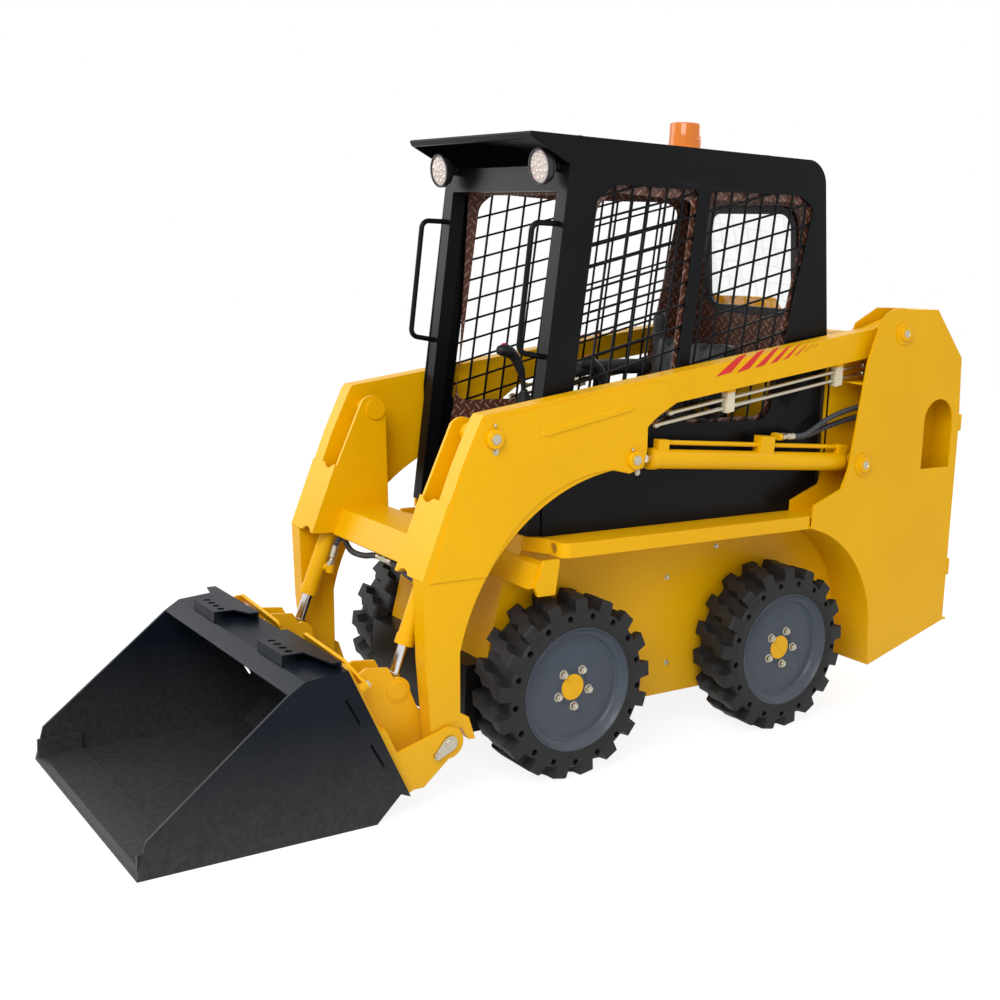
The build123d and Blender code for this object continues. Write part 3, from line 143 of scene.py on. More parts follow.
# Yellow gloss enamel on steel plate: warm, slightly orange where it is thick, with a fine orange peel
yellowEnamel = paintedSteel(
    "yellowEnamel", dark="#DFA400", light="#EEB400", mottle=0.35, roughness=0.36, coat=0.03, shine=0.16,
    grain=0.004, bump=0.12, edge=0.002, dustTop=0.5, dust=0.18)
# Black satin enamel of the cab: near black with a soft sheen
blackEnamel = paintedSteel(
    "blackEnamel", dark="#08090B", light="#0E0F12", mottle=0.2, roughness=0.32, coat=0.03, shine=0.1,
    grain=0.003, bump=0.15, edge=0.0015, dustTop=0.5, dust=0.1)
# Black satin paint of the bucket: bluish, a little dusty where it meets the ground
bucketPaint = paintedSteel(
    "bucketPaint", dark="#0A0F16", light="#111822", mottle=0.12, roughness=0.4, coat=0.02, shine=0.1,
    grain=0.005, bump=0.2, edge=0.002, dustTop=0.35, dust=0.25)
# Blue-grey satin paint of the wheel discs
rimPaint = paintedSteel(
    "rimPaint", dark="#3A414C", light="#474F5B", mottle=0.08, roughness=0.38, coat=0.05, shine=0.2,
    grain=0.004, bump=0.15, edge=0.002, dustTop=0.4, dust=0.2)
# Cast iron with a dark primer: coarse sand-cast skin
castIron = paintedSteel(
    "castIron", dark="#26272A", light="#3A3B3E", mottle=0.05, roughness=0.55, coat=0, shine=0.3,
    grain=0.0025, bump=0.6, edge=0.003, dustTop=0.6, dust=0.3)
# Red printed film, glossy, a little faded in patches
redFilm = paintedSteel(
    "redFilm", dark="#C4211A", light="#DA2A20", mottle=0.06, roughness=0.3, coat=0.1, shine=0.3,
    grain=0.002, bump=0.05, edge=0.0005, dustTop=0.5, dust=0.1)
# Black moulded plastic of consoles, grips and the beacon's foot: fine pebbled skin
blackPlastic = paintedSteel(
    "blackPlastic", dark="#17181B", light="#222428", mottle=0.05, roughness=0.5, coat=0, shine=0.3,
    grain=0.0012, bump=0.5, edge=0.0015, dustTop=1.0, dust=0.1)


# Bare or plated metal: marks of drawing or rolling, coarser than real, show in its gloss
def bareMetal(name, roughness, **look):
    look["mottle"] = look["grain"]
    return grainedSurface(
        name, {"Metallic": 1}, look, (4, 4), 0.0003, "skin", (roughness * 0.7, roughness * 1.3))


# Hard chrome on the cylinder rods: bright and nearly smooth
hardChrome = bareMetal(
    "hardChrome", dark="#C9CACC", light="#E3E3E4", roughness=0.14, grain=0.003, bump=0.05, edge=0.0008)
# Zinc plated steel of nuts, tubes and fittings: pale with a warm cast
zincSteel = bareMetal(
    "zincSteel", dark="#A9A391", light="#D2CCBC", roughness=0.32, grain=0.002, bump=0.2, edge=0.0008)


# Rubber and soft plastics: matt, their moulded skin drawn coarser than real and seen in the gloss
def mouldedRubber(name, roughness, specular=0.5, **look):
    return grainedSurface(
        name, {"IOR": 1.52, "Specular IOR Level": specular}, look, (5, 4), 0.001, "skin",
        (roughness - 0.08, roughness + 0.1), 0.65)


# Solid tyre rubber: matt dark grey, mottled where it has rubbed
tyreRubber = mouldedRubber(
    "tyreRubber", dark="#151516", light="#242425", mottle=0.03, roughness=0.6, specular=0.28,
    grain=0.003, bump=0.5, edge=0.002)
# Black rubber of hoses, boots and seals: smoother and darker than the tyres
gasketRubber = mouldedRubber(
    "gasketRubber", dark="#0F1012", light="#1A1B1E", mottle=0.05, roughness=0.5, grain=0.002, bump=0.2, edge=0.002)
# Spiral guard round the hoses: hard plastic, painted paler than it is as a painted highlight on the crests of the wrap,
# against the rubber in its grooves
guardPaintedHighlight = mouldedRubber(
    "guardPaintedHighlight", dark="#3F444A", light="#5E646B", mottle=0.03, roughness=0.38, grain=0.002, bump=0.1, edge=0.0015)
# Seat vinyl: dark grey with a fine leather grain
seatVinyl = mouldedRubber(
    "seatVinyl", dark="#1D1E21", light="#2A2B2F", mottle=0.02, roughness=0.5, grain=0.0012, bump=0.35, edge=0.001)
# Moulded plastic blocks of the tube clamps: cream, dull
clampPlastic = mouldedRubber(
    "clampPlastic", dark="#CFC3A6", light="#DDD3B8", mottle=0.02, roughness=0.45, grain=0.001, bump=0.15, edge=0.0015)
# Painted aluminium of the lamps: black with a fine cast skin
lampAluminium = mouldedRubber(
    "lampAluminium", dark="#101114", light="#1A1B1F", mottle=0.03, roughness=0.42, grain=0.0008, bump=0.3, edge=0.001)


# Brown tread plate: bars raised by turns along and across, their crests painted bright in 25 mm patches as a painted
# highlight
def treadPlate(name, side, dark="#583023", light="#B4937E", pitch=0.042):
    made, tree, place = newMaterial(name)
    parts = addNode(tree, "SeparateXYZ", {"Vector": place}).outputs
    ridges = []
    for lean in (1, -1):
        crossed = addNode(tree, "Math", {0: parts["Z"], 1: lean, 2: parts[side]}, operation="MULTIPLY_ADD")
        along = addNode(tree, "Math", {0: crossed, 1: pi / pitch}, operation="MULTIPLY")
        ridges.append(addNode(tree, "Math", {0: along}, operation="SINE"))
    squares = [addNode(tree, "Math", {0: ridge, 1: 2}, operation="POWER") for ridge in ridges]
    product = addNode(tree, "Math", {0: ridges[0], 1: ridges[1]}, operation="MULTIPLY")
    turns = addNode(tree, "Math", {0: product, 1: 0}, operation="GREATER_THAN")
    long = addNode(tree, "Mix", {"Factor": turns, "A": squares[0], "B": squares[1]}, data_type="FLOAT")
    bars = addNode(tree, "MapRange", {"Value": long, "From Min": 0.8, "From Max": 0.95})
    # painted highlight: the crests of the bars are lightened in patches of about 25 mm
    crestHighlightNoise = addNode(tree, "TexNoise", {"Vector": place, "Scale": 40, "Detail": 4})
    paintedCrestHighlight = addNode(tree, "Math", {0: bars, 1: crestHighlightNoise}, operation="MULTIPLY")
    tint = addNode(tree, "Mix", {"Factor": paintedCrestHighlight, "A": dark, "B": light}, data_type="RGBA")
    bump = addNode(tree, "Bump", {"Strength": 0.8, "Distance": 0.0015, "Height": bars})
    endMaterial(tree, {"IOR": 1.5, "Coat Weight": 0.2, "Roughness": 0.42, "Base Color": tint, "Normal": bump})
    return made


# Brown tread plate of the cab's sides, and of the walls that face ahead
brownPlate = treadPlate("brownPlate", "Y")
brownPlateAcross = treadPlate("brownPlateAcross", "X")


# Clear mouldings and glass, faintly uneven in patches of about 33 mm
def clearShell(name, dark, light, ior, clear, roughness):
    made, tree, place = newMaterial(name)
    mottle = addNode(tree, "TexNoise", {"Vector": place, "Scale": 30, "Detail": 2})
    tint = addNode(tree, "Mix", {"Factor": mottle, "A": dark, "B": light}, data_type="RGBA")
    endMaterial(tree, {"IOR": ior, "Transmission Weight": clear, "Roughness": roughness, "Base Color": tint})
    return made


# Safety glass of the rear window
safetyGlass = clearShell("safetyGlass", "#F8FBFA", "#FBFDFC", ior=1.5, clear=1, roughness=0.02)
# Amber acrylic dome of the beacon, lit a little by what shows through
amberAcrylic = clearShell("amberAcrylic", "#F07A0A", "#FF9A24", ior=1.49, clear=0.45, roughness=0.12)
# Lamp lens, faintly pink
lensAcrylic = clearShell("lensAcrylic", "#D8BDBC", "#F1E2DF", ior=1.49, clear=0.3, roughness=0.15)

paintOf = {
    yellowEnamel: """frame_tub front_bumper fender_rails tower_left tower_right engine_cover hinge_lugs rear_door
        arm_left arm_right cross_member lift_barrels tilt_barrels coupler latch_levers tower_pins arm_pins""",
    blackEnamel: """lower_side_panels cab_floor cab_side_left cab_side_right mesh_guards cab_front_frame
        cab_rear_panel cab_roof grab_handles control_levers seat_base footwell_box roof_hatch""",
    bucketPaint: "bucket_shell bucket_steps",
    castIron: "axle_tubes engine_block engine_mounts",
    hardChrome: "lift_rods tilt_rods",
    zincSteel: "arm_tubes coupler_pins",
    rimPaint: "rim_front_left rim_front_right rim_rear_left rim_rear_right",
    tyreRubber: "tyre_front_left tyre_front_right tyre_rear_left tyre_rear_right",
    seatVinyl: "seat_cushion seat_back",
    gasketRubber: "rear_gasket",
    clampPlastic: "tube_clamps",
    lampAluminium: "work_lamps",
    brownPlate: "cab_linings",
    safetyGlass: "rear_window",
    amberAcrylic: "beacon",
}
for paint, names in paintOf.items():
    for name in names.split():
        for place in nodes[name].material_slots:
            place.material = paint
print("materials set", len(bpy.data.materials))


# A place from the side view's own y and z
def spot(x, y, z):
    return Vector((x, wheelbaseMiddle + y, z))


def choose(piece):
    bpy.ops.object.select_all(action="DESELECT")
    bpy.context.view_layer.objects.active = piece
    piece.select_set(True)


# Starts a piece from a primitive and puts its place in its mesh at once
def startPiece(name, kind, **settings):
    bpy.ops.object.select_all(action="DESELECT")
    getattr(bpy.ops.mesh, "primitive_" + kind + "_add")(**settings)
    piece = bpy.context.object
    piece.name = name
    bpy.ops.object.transform_apply(location=True, rotation=True, scale=True)
    return piece


# A round blank whose axis runs along one way, from its near end
def roundBlank(name, start, way, radius, length, sides=32):
    way = Vector(way).normalized()
    return startPiece(
        name, "cylinder", vertices=sides, radius=radius, depth=length,
        location=Vector(start) + way * length / 2, rotation=way.to_track_quat("Z", "Y").to_euler())


def openPiece(piece):
    choose(piece)
    bpy.ops.object.mode_set(mode="EDIT")
    bpy.ops.mesh.select_all(action="SELECT")


def closePiece():
    bpy.ops.object.mode_set(mode="OBJECT")


# Selects the faces, or edges, that pass a test of their middle and of their normal, or of the edge
def pick(piece, test, kind="FACE"):
    bpy.ops.mesh.select_mode(type=kind)
    bpy.ops.mesh.select_all(action="DESELECT")
    shape = bmesh.from_edit_mesh(piece.data)
    for face in shape.faces if kind == "FACE" else shape.edges:
        if kind == "FACE":
            face.select_set(bool(test(face.calc_center_median(), face.normal)))
        else:
            face.select_set(bool(test((face.verts[0].co + face.verts[1].co) / 2, face)))
    bmesh.update_edit_mesh(piece.data)


# Works the end face by steps of inset and push, as on a lathe: no inset makes a straight wall
def turnSteps(way, steps):
    way = Vector(way).normalized()
    for inset, push in steps:
        if inset:
            bpy.ops.mesh.inset(thickness=inset, depth=0)
            bpy.ops.transform.translate(value=way * push)
        else:
            bpy.ops.mesh.extrude_region_move(TRANSFORM_OT_translate={"value": way * push})


# A turned piece: a blank whose far end is worked by steps
def turnedPiece(name, start, way, radius, length, steps, sides=32):
    piece = roundBlank(name, start, way, radius, length, sides)
    way = Vector(way).normalized()
    openPiece(piece)
    pick(piece, lambda middle, normal: normal.dot(way) > 0.99)
    turnSteps(way, steps)
    closePiece()
    return piece


# A box with rounded edges, turned about x
def boxPiece(name, middle, size, edge, lean=0, segments=2):
    box = startPiece(name, "cube", size=1, scale=size, location=middle, rotation=(lean, 0, 0))
    openPiece(box)
    bpy.ops.mesh.bevel(offset=edge, segments=segments)
    closePiece()
    return box


# Gives the selected flat faces their thickness, with all faces pointing out
def thicken(thickness):
    bpy.ops.mesh.select_all(action="SELECT")
    bpy.ops.mesh.extrude_region_move(TRANSFORM_OT_translate={"value": (0, 0, thickness)})
    bpy.ops.mesh.select_all(action="SELECT")
    bpy.ops.mesh.normals_make_consistent(inside=False)
    closePiece()


# A plate from its outline: points in the plane, a corner radius for each, then its thickness
def platePiece(name, points, place, thickness, radii=()):
    piece = startPiece(name, "circle", vertices=len(points), fill_type="NGON")
    for vertex, (across, up) in zip(piece.data.vertices, points):
        vertex.co = (across, up, 0)
    openPiece(piece)
    for (across, up), radius in zip(points, radii):
        if radius:
            bpy.ops.mesh.select_mode(type="VERT")
            bpy.ops.mesh.select_all(action="DESELECT")
            shape = bmesh.from_edit_mesh(piece.data)
            min(shape.verts, key=lambda vertex: (vertex.co - Vector((across, up, 0))).length).select_set(True)
            bmesh.update_edit_mesh(piece.data)
            bpy.ops.mesh.bevel(offset=radius, segments=6, affect="VERTICES")
    thicken(thickness)
    piece.data.transform(place)
    return piece


# Plane of the side view at one x: across is y, up is z, thickness goes to the machine's left
def sideView(x):
    return Matrix(((0, 0, 1, x), (1, 0, 0, wheelbaseMiddle), (0, 1, 0, 0), (0, 0, 0, 1)))


def cutPiece(piece, cutter, operation="DIFFERENCE"):
    cut = piece.modifiers.new("cut", "BOOLEAN")
    cut.operation, cut.solver, cut.object = operation, "EXACT", cutter
    choose(piece)
    bpy.ops.object.modifier_apply(modifier="cut")
    bpy.data.objects.remove(cutter)


# A round bar along a curve; points are x, y, z and a share of the bar's radius
def curvePiece(name, kind, points, radius, resolution=12, sides=4):
    curve = bpy.data.curves.new(name, "CURVE")
    curve.dimensions, curve.bevel_depth, curve.bevel_resolution = "3D", radius, sides
    curve.use_fill_caps, curve.resolution_u = True, resolution
    spline = curve.splines.new(kind)
    spline.points.add(len(points) - 1)
    for point, (x, y, z, share) in zip(spline.points, points):
        point.co, point.radius = (x, y, z, 1), share
    spline.order_u, spline.use_endpoint_u = 3, True
    piece = bpy.data.objects.new(name, curve)
    bpy.context.scene.collection.objects.link(piece)
    choose(piece)
    bpy.ops.object.convert(target="MESH")
    return bpy.context.object


def joinPieces(name, parts):
    bpy.ops.object.select_all(action="DESELECT")
    for part in parts:
        part.select_set(True)
    bpy.context.view_layer.objects.active = parts[0]
    bpy.ops.object.join()
    parts[0].name = name
    return parts[0]


def copyPiece(piece, name, move):
    copied = piece.copy()
    copied.data = piece.data.copy()
    copied.name = name
    copied.data.transform(move)
    bpy.context.scene.collection.objects.link(copied)
    return copied


# Mirrors a left piece to the other side of the machine and turns its faces out again
def mirrorPiece(piece):
    mirrored = copyPiece(piece, piece.name.replace("Left", "Right"), Matrix.Scale(-1, 4, (1, 0, 0)))
    mirrored.data.flip_normals()
    return mirrored


# Gives the faces that pass a test a second paint
def paintFaces(piece, paint, test):
    piece.data.materials.append(paint)
    for face in piece.data.polygons:
        if test(face.center):
            face.material_index = len(piece.data.materials) - 1


# Last steps of every piece: paint, smooth faces and body
def finishPiece(piece, paint, body, slotName, angle=35):
    choose(piece)
    bpy.ops.object.shade_smooth_by_angle(angle=radians(angle))
    if paint:
        piece.data.materials.clear()
        piece.data.materials.append(paint)
    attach(piece, body)


def finishPair(left, paint, body, slotName, angle=35):
    for piece in (left, mirrorPiece(left)):
        finishPiece(piece, paint, body, slotName, angle)


# Ends that many small parts share, as steps for turnSteps
nutEnd = ((0.001, 0.001), (0.003, 0))
stubEnd = ((0.001, 0.001), (0.002, 0))


# Hexagon bolt head on its washer
def boltAt(name, place, way, radius=0.0075, height=0.006):
    head = turnedPiece(name, place, way, radius, height, ((0.0008, 0.0006), (0.003, 0)), 6)
    washer = turnedPiece(name, place, way, radius * 1.35, 0.0016, ((0.0005, 0.0004),), 20)
    return joinPieces(name, [head, washer])


# Wheels: solid rubber with zigzag lugs, a dished disc, five nuts and the hub's yellow end
wheel = {
    "track": 0.421, "axle": (0.465, 0.3), "rubberRadius": 0.262, "treadRadius": 0.3, "width": 0.178,
    "sidewall": (
        (0.006, 0.007), (0.01, 0.0025), (0.018, 0), (0.004, -0.0015), (0.008, 0), (0.003, -0.0015), (0.0075, -0.001),
    ),
    "lugs": 17, "lugWidth": 0.058, "lugRoot": 0.252, "holeRing": 0.2425, "holeRadius": 0.0105,
    # across the tyre, share of a pitch that the lug has moved there
    "zigzag": ((0.089, 0), (0.046, 0.02), (0.026, 0.25), (-0.026, 0.25), (-0.046, 0.48), (-0.089, 0.5)),
    "rimRadius": 0.2048, "rimBack": ((0.008, 0), (0.003, -0.06), (0.01, -0.05)),
    "disc": (
        (0.0035, 0), (0.0025, -0.0045), (0.013, -0.013), (0.0075, -0.0035), (0.0045, -0.0075), (0.005, -0.0015),
        (0.004, 0.0012), (0.0868, 0.0005), (0.0215, 0), (0.0012, -0.003),
    ),
    "discFace": 0.057, "hub": ((0.0012, 0.001), (0.036, 0), (0.003, 0.0003), (0.0012, -0.0012)),
    "nutCount": 5, "nutRing": 0.0635,
    # washer, nut and stud: depth sunk in the disc, radius, height, steps, sides
    "nutParts": (
        (0.001, 0.0155, 0.003, ((0.001, 0.0008),), 24), (0, 0.0128, 0.0125, ((0.0012, 0.0009), (0.004, 0.0001)), 6),
        (0, 0.0062, 0.0185, stubEnd, 18),
    ),
}


def makeLug(width, treadRadius, lugs, lugWidth, lugRoot, zigzag, **others):
    half = width / 2
    lug = startPiece(
        "lug", "cube", size=1, location=(0, 0, (treadRadius + lugRoot) / 2),
        scale=(width, lugWidth, treadRadius - lugRoot))
    openPiece(lug)
    for across, shift in zigzag[1:-1]:
        bpy.ops.mesh.select_all(action="SELECT")
        bpy.ops.mesh.bisect(plane_co=(across, 0, 0), plane_no=(1, 0, 0))
    # flanks lean in towards the top, and the ends of the lug slope down to the shoulder
    pick(lug, lambda middle, normal: normal.z > 0.9)
    bpy.ops.transform.resize(value=(0.93, 0.82, 1))
    pick(lug, lambda middle, edge: middle.z > treadRadius - 0.001 and abs(middle.x) > half * 0.9, "EDGE")
    bpy.ops.mesh.bevel(offset=0.006, segments=1)
    pick(lug, lambda middle, normal: normal.z > 0.9)
    bpy.ops.mesh.region_to_loop()
    bpy.ops.mesh.bevel(offset=0.0028, segments=2)
    closePiece()
    for vertex in lug.data.vertices:
        across, around, out = vertex.co
        shift = 0
        for (farX, farShift), (nearX, nearShift) in zip(zigzag, zigzag[1:]):
            if nearX <= across <= farX:
                shift = farShift + (nearShift - farShift) * (farX - across) / (farX - nearX)
        if across < -half * 0.98:
            shift = zigzag[-1][1]
        turn = around / treadRadius + shift * 2 * pi / lugs
        vertex.co = (across, out * sin(turn), out * cos(turn))
    return lug


def makeTyre(width, rubberRadius, sidewall, lugs, holeRing, holeRadius, **others):
    half = width / 2
    tyre = roundBlank("tyre", (-half + 0.0085, 0, 0), (1, 0, 0), rubberRadius, width - 0.017, 68)
    openPiece(tyre)
    for way in (1, -1):
        pick(tyre, lambda middle, normal: normal.x * way > 0.99 and abs(middle.x) > half - 0.03)
        turnSteps((way, 0, 0), sidewall)
    pick(tyre, lambda middle, normal: abs(normal.x) > 0.99 and middle.yz.length < 0.05)
    bpy.ops.mesh.bridge_edge_loops()
    closePiece()
    drills = []
    for step in range(lugs):
        turn = (step + 0.5) * 2 * pi / lugs
        place = (-half - 0.01, holeRing * sin(turn), holeRing * cos(turn))
        drills.append(roundBlank("drill", place, (1, 0, 0), holeRadius, 0.2, 14))
    cutPiece(tyre, joinPieces("drill", drills))
    lug = makeLug(**wheel)
    copies = [copyPiece(lug, "lug", Matrix.Rotation(step * 2 * pi / lugs, 4, "X")) for step in range(1, lugs)]
    return joinPieces("tyre", [tyre, lug, *copies])


def makeRim(rimRadius, disc, rimBack, **others):
    rim = turnedPiece("rim", (-0.083, 0, 0), (1, 0, 0), rimRadius, 0.17, disc, 72)
    openPiece(rim)
    pick(rim, lambda middle, normal: normal.x < -0.99)
    turnSteps((-1, 0, 0), rimBack)
    closePiece()
    return rim


def makeNuts(discFace, nutCount, nutRing, nutParts, **others):
    nuts = []
    for step in range(nutCount):
        turn = (step + 0.2) * 2 * pi / nutCount
        for sunk, radius, height, steps, sides in nutParts:
            place = (discFace - sunk, nutRing * sin(turn), nutRing * cos(turn))
            nuts.append(turnedPiece("nut", place, (1, 0, 0), radius, height, steps, sides))
    return joinPieces("nuts", nuts)


def makeWheels(settings):
    tyre, rim, nuts = (make(**settings) for make in (makeTyre, makeRim, makeNuts))
    hub = turnedPiece("hub", (settings["discFace"] - 0.012, 0, 0), (1, 0, 0), 0.0432, 0.0112, settings["hub"], 48)
    axleY, axleZ = settings["axle"]
    for end, ahead in (("front", -1), ("rear", 1)):
        for side, out in (("left", 1), ("right", -1)):
            name = end + "_" + side
            place = Matrix.Translation(spot(out * settings["track"], ahead * axleY, axleZ))
            facing = Matrix.Rotation(0 if out > 0 else pi, 4, "Z")
            rolled = Matrix.Rotation(ahead * 0.7 + out * 0.4, 4, "X")
            for piece, paint, slotName, replaced, turnBy in (
                (tyre, tyreRubber, "tyre", "tyre_", Matrix()), (rim, rimPaint, "rim", "rim_", rolled),
                (nuts, zincSteel, "rim", None, rolled), (hub, yellowEnamel, "yellow", None, rolled),
            ):
                made = copyPiece(piece, piece.name + "Of_" + name, place @ facing @ turnBy)
                finishPiece(made, paint, "wheel_" + name, slotName, 30)
                if replaced:
                    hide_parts(replaced + name)
    for piece in (tyre, rim, nuts, hub):
        bpy.data.objects.remove(piece)


makeWheels(wheel)
print("wheels made")

# Pins: a stepped yellow boss welded to the plate, the bright end of the pin in its middle
pins = {
    "towerPins": {
        "node": "tower_pins", "body": "chassis", "plate": 0.5003, "places": ((0.99, 1.442), (0.816, 0.957)),
        # radius, length and sides of a boss, then its steps
        "boss": (0.043, 0.0047, 40), "steps": (
            (0.0012, 0.0006), (0.0128, 0), (0, 0.0074), (0.0022, 0.0018), (0.0125, 0), (0.0008, -0.0014), (0.006, 0),
            (0.002, -0.0008),
        ),
        # near and far end in x, place, radius
        "shafts": ((0.376, 0.5003, 0.99, 1.442, 0.022), (0.376, 0.5003, 0.816, 0.957, 0.016)),
        # the bright end starts at this x and has this radius
        "bright": (0.512, 0.0142),
    },
    "armPins": {
        "node": "arm_pins", "body": "lift_arms", "plate": 0.4663, "places": ((-0.793, 1.125), (-0.245, 1.03)),
        "boss": (0.03, 0.0125, 36),
        "steps": ((0.0022, 0.002), (0.0115, 0), (0.0008, 0.0026), (0.006, 0), (0.002, -0.0008)),
        "shafts": ((0.304, 0.4, -0.793, 1.125, 0.016),), "bright": (0.481, 0.017),
    },
}
armBolts = {"face": 0.4653, "bolts": ((-0.785, 1.085), (-0.232, 0.988)), "nipples": ((-0.796, 1.163), (-0.262, 1.062))}


def makePins(name, node, body, plate, places, boss, steps, shafts, bright):
    radius, length, sides = boss
    parts = [turnedPiece("boss", spot(plate, *place), (1, 0, 0), radius, length, steps, sides) for place in places]
    for near, far, y, z, radius in shafts:
        parts.append(roundBlank("boss", spot(near, y, z), (1, 0, 0), radius, far - near))
    left = joinPieces(name + "Left", parts)
    left.data.materials.append(yellowEnamel)
    start, reach = bright
    paintFaces(left, zincSteel, lambda middle: middle.x > start and any(
        (middle.yz - spot(0, *place).yz).length < reach for place in places))
    finishPair(left, None, body, "pins")
    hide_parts(node)


def makeArmBolts(face, bolts, nipples):
    small = [boltAt("bolt", spot(face, *place), (1, 0, 0), 0.008) for place in bolts]
    for place in nipples:
        small.append(turnedPiece("nipple", spot(face + 0.008, *place), (0, 0.3, 1), 0.0045, 0.004, (
            (0.0012, 0.0005), (0, 0.003), (0.0006, 0.0004), (0, 0.0015), (0.001, 0.001),
        ), 12))
    finishPair(joinPieces("armBoltsLeft", small), zincSteel, "lift_arms", "chrome")


for name, settings in pins.items():
    makePins(name, **settings)
makeArmBolts(**armBolts)
print("pins made")

# Hoses: rubber in a spiral guard, so the radius steps along the route
hoses = {
    "radius": 0.0105, "turn": 0.0115, "groove": 0.74,
    # left side's routes; columns are name, body at the start, body at the end, route
    "routes": (
        ("liftHoseUpper", "lift_barrels", "chassis", (
            (0.436, 0.5, 1.069), (0.436, 0.56, 1.066), (0.434, 0.611, 1.092), (0.431, 0.684, 1.125),
            (0.429, 0.759, 1.147), (0.427, 0.852, 1.164), (0.425, 0.945, 1.175),
        )),
        ("liftHoseLower", "lift_barrels", "chassis", (
            (0.412, 0.5, 1.064), (0.412, 0.555, 1.056), (0.412, 0.61, 1.066), (0.412, 0.676, 1.086),
            (0.412, 0.76, 1.106), (0.412, 0.85, 1.122), (0.412, 0.945, 1.132),
        )),
        ("tiltHoseFront", "tilt_barrels", "lift_arms", (
            (0.302, -0.934, 0.648), (0.302, -0.92, 0.682), (0.292, -0.906, 0.684), (0.27, -0.9, 0.652),
            (0.235, -0.9, 0.64), (0.15, -0.9, 0.645), (0.08, -0.9, 0.664), (0.035, -0.9, 0.667),
        )),
    ),
}


def makeHose(name, route, radius, turn, groove):
    guide = curvePiece(name + "Route", "NURBS", [(*spot(*place), 1) for place in route], 0, 24)
    places = [vertex.co.copy() for vertex in guide.data.vertices]
    bpy.data.objects.remove(guide)
    # even steps along the line, five for each turn of the wrap, two of them in its groove
    step = turn / 5
    spaced, left = [places[0]], step
    for start, end in zip(places, places[1:]):
        span = (end - start).length
        while left <= span:
            spaced.append(start.lerp(end, left / span))
            left += step
        left -= span
    points = [(*place, groove if index % 5 < 2 else 1) for index, place in enumerate(spaced)]
    hose = curvePiece(name, "POLY", points, radius)
    hose.data.materials.clear()
    # the crests keep the guard's paler colour, a painted highlight; the groove faces take the black rubber
    hose.data.materials.append(guardPaintedHighlight)
    paintFaces(hose, gasketRubber, lambda middle: min((place - middle).length for place in spaced) < radius * 0.9)
    bpy.ops.object.shade_smooth_by_angle(angle=radians(28))
    print(name, "length", round(sum((b - a).length for a, b in zip(spaced, spaced[1:])), 3))
    return hose


def makeHoses(radius, turn, groove, routes):
    for name, nearBody, farBody, route in routes:
        left = makeHose(name + "Left", route, radius, turn, groove)
        for hose in (left, mirrorPiece(left)):
            spot(*route[1])
            spot(*route[-2])
            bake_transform(hose)


makeHoses(**hoses)

# Steel ends of the hoses: a crimped ferrule, a hexagon nut and the bent stub
fittings = {
    "ferrule": 0.0125, "nut": 0.0135, "liftElbows": (0.412, 0.436), "tiltElbow": (0.302, -0.953, 0.56),
    # columns are body, start, way, whole length
    "ends": (
        ("lift_barrels", (0.436, 0.446, 1.07), (0, 1, -0.01), 0.06),
        ("lift_barrels", (0.412, 0.446, 1.068), (0, 1, -0.05), 0.06),
        ("tilt_barrels", (0.302, -0.951, 0.585), (0, 0.27, 0.96), 0.07),
    ),
}


def makeFittings(ferrule, nut, liftElbows, tiltElbow, ends):
    for index, (body, start, way, length) in enumerate(ends):
        name, start, way = "hoseEndLeft%d" % index, spot(*start), Vector(way).normalized()
        finishPair(joinPieces(name, [
            turnedPiece(name, start, way, nut, 0.014, ((0.001, 0.0008), (0.004, 0)), 6),
            turnedPiece(name, start + way * 0.012, way, ferrule * 0.8, 0.01, ((0.0006, 0.0006), (0.0005, 0.003)), 24),
            turnedPiece(name, start + way * (length * 0.42), way, ferrule, length * 0.58, (
                (0.0012, 0.0015), (0.001, 0),
            ), 12),
        ]), zincSteel, body, "chrome")
    elbow = turnedPiece("tiltElbowLeft", spot(*tiltElbow), (0, 0.2, 0.98), 0.014, 0.028, (
        (0.001, 0.0008), (0.003, 0),
    ), 24)
    finishPair(elbow, yellowEnamel, "tilt_barrels", "yellow")
    stubs = [turnedPiece("stub", spot(x, 0.428, 1.07), (0, 1, 0), 0.0125, 0.016, stubEnd, 20) for x in liftElbows]
    finishPair(joinPieces("liftElbowsLeft", stubs), yellowEnamel, "lift_barrels", "yellow")


makeFittings(**fittings)
print("hoses made")

# Tube clamps: a yellow cap plate with its screw above each block, nuts at the rear ends of the tubes
tubeTrim = {
    "x": 0.431, "clamps": ((0.183, 1.2508), (0.713, 1.3296)), "cap": (0.034, 0.036, 0.012), "slope": 0.148,
    # front and rear end of each tube
    "tubes": (((-0.09, 1.172), (0.905, 1.33)), ((-0.15, 1.133), (0.905, 1.298))),
    # nuts: 0 at a tube's front end or 1 at its rear, distance along it, radius, length, steps, sides
    "tubeNuts": (
        (1, -0.062, 0.0125, 0.02, nutEnd, 6), (1, -0.038, 0.0105, 0.03, stubEnd, 20),
        (0, 0.004, 0.0115, 0.018, nutEnd, 6),
    ),
}


def makeTubeTrim(x, clamps, cap, slope, tubes, tubeNuts):
    caps, nuts = [], []
    for y, z in clamps:
        caps.append(boxPiece("clampCap", spot(x, y, z - 0.0075), cap, 0.0012, asin(slope)))
        nuts.append(boltAt("clampBolt", spot(x, y, z - 0.0815), (0, slope, -1), 0.006, 0.005))
    for tube in tubes:
        ends = [spot(x, *place) for place in tube]
        way = (ends[1] - ends[0]).normalized()
        for end, along, radius, length, steps, sides in tubeNuts:
            nuts.append(turnedPiece("tubeNut", ends[end] + way * along, way, radius, length, steps, sides))
    finishPair(joinPieces("clampCapsLeft", caps), yellowEnamel, "lift_arms", "yellow")
    finishPair(joinPieces("tubeNutsLeft", nuts), zincSteel, "lift_arms", "chrome")


makeTubeTrim(**tubeTrim)
print("tube trim made")

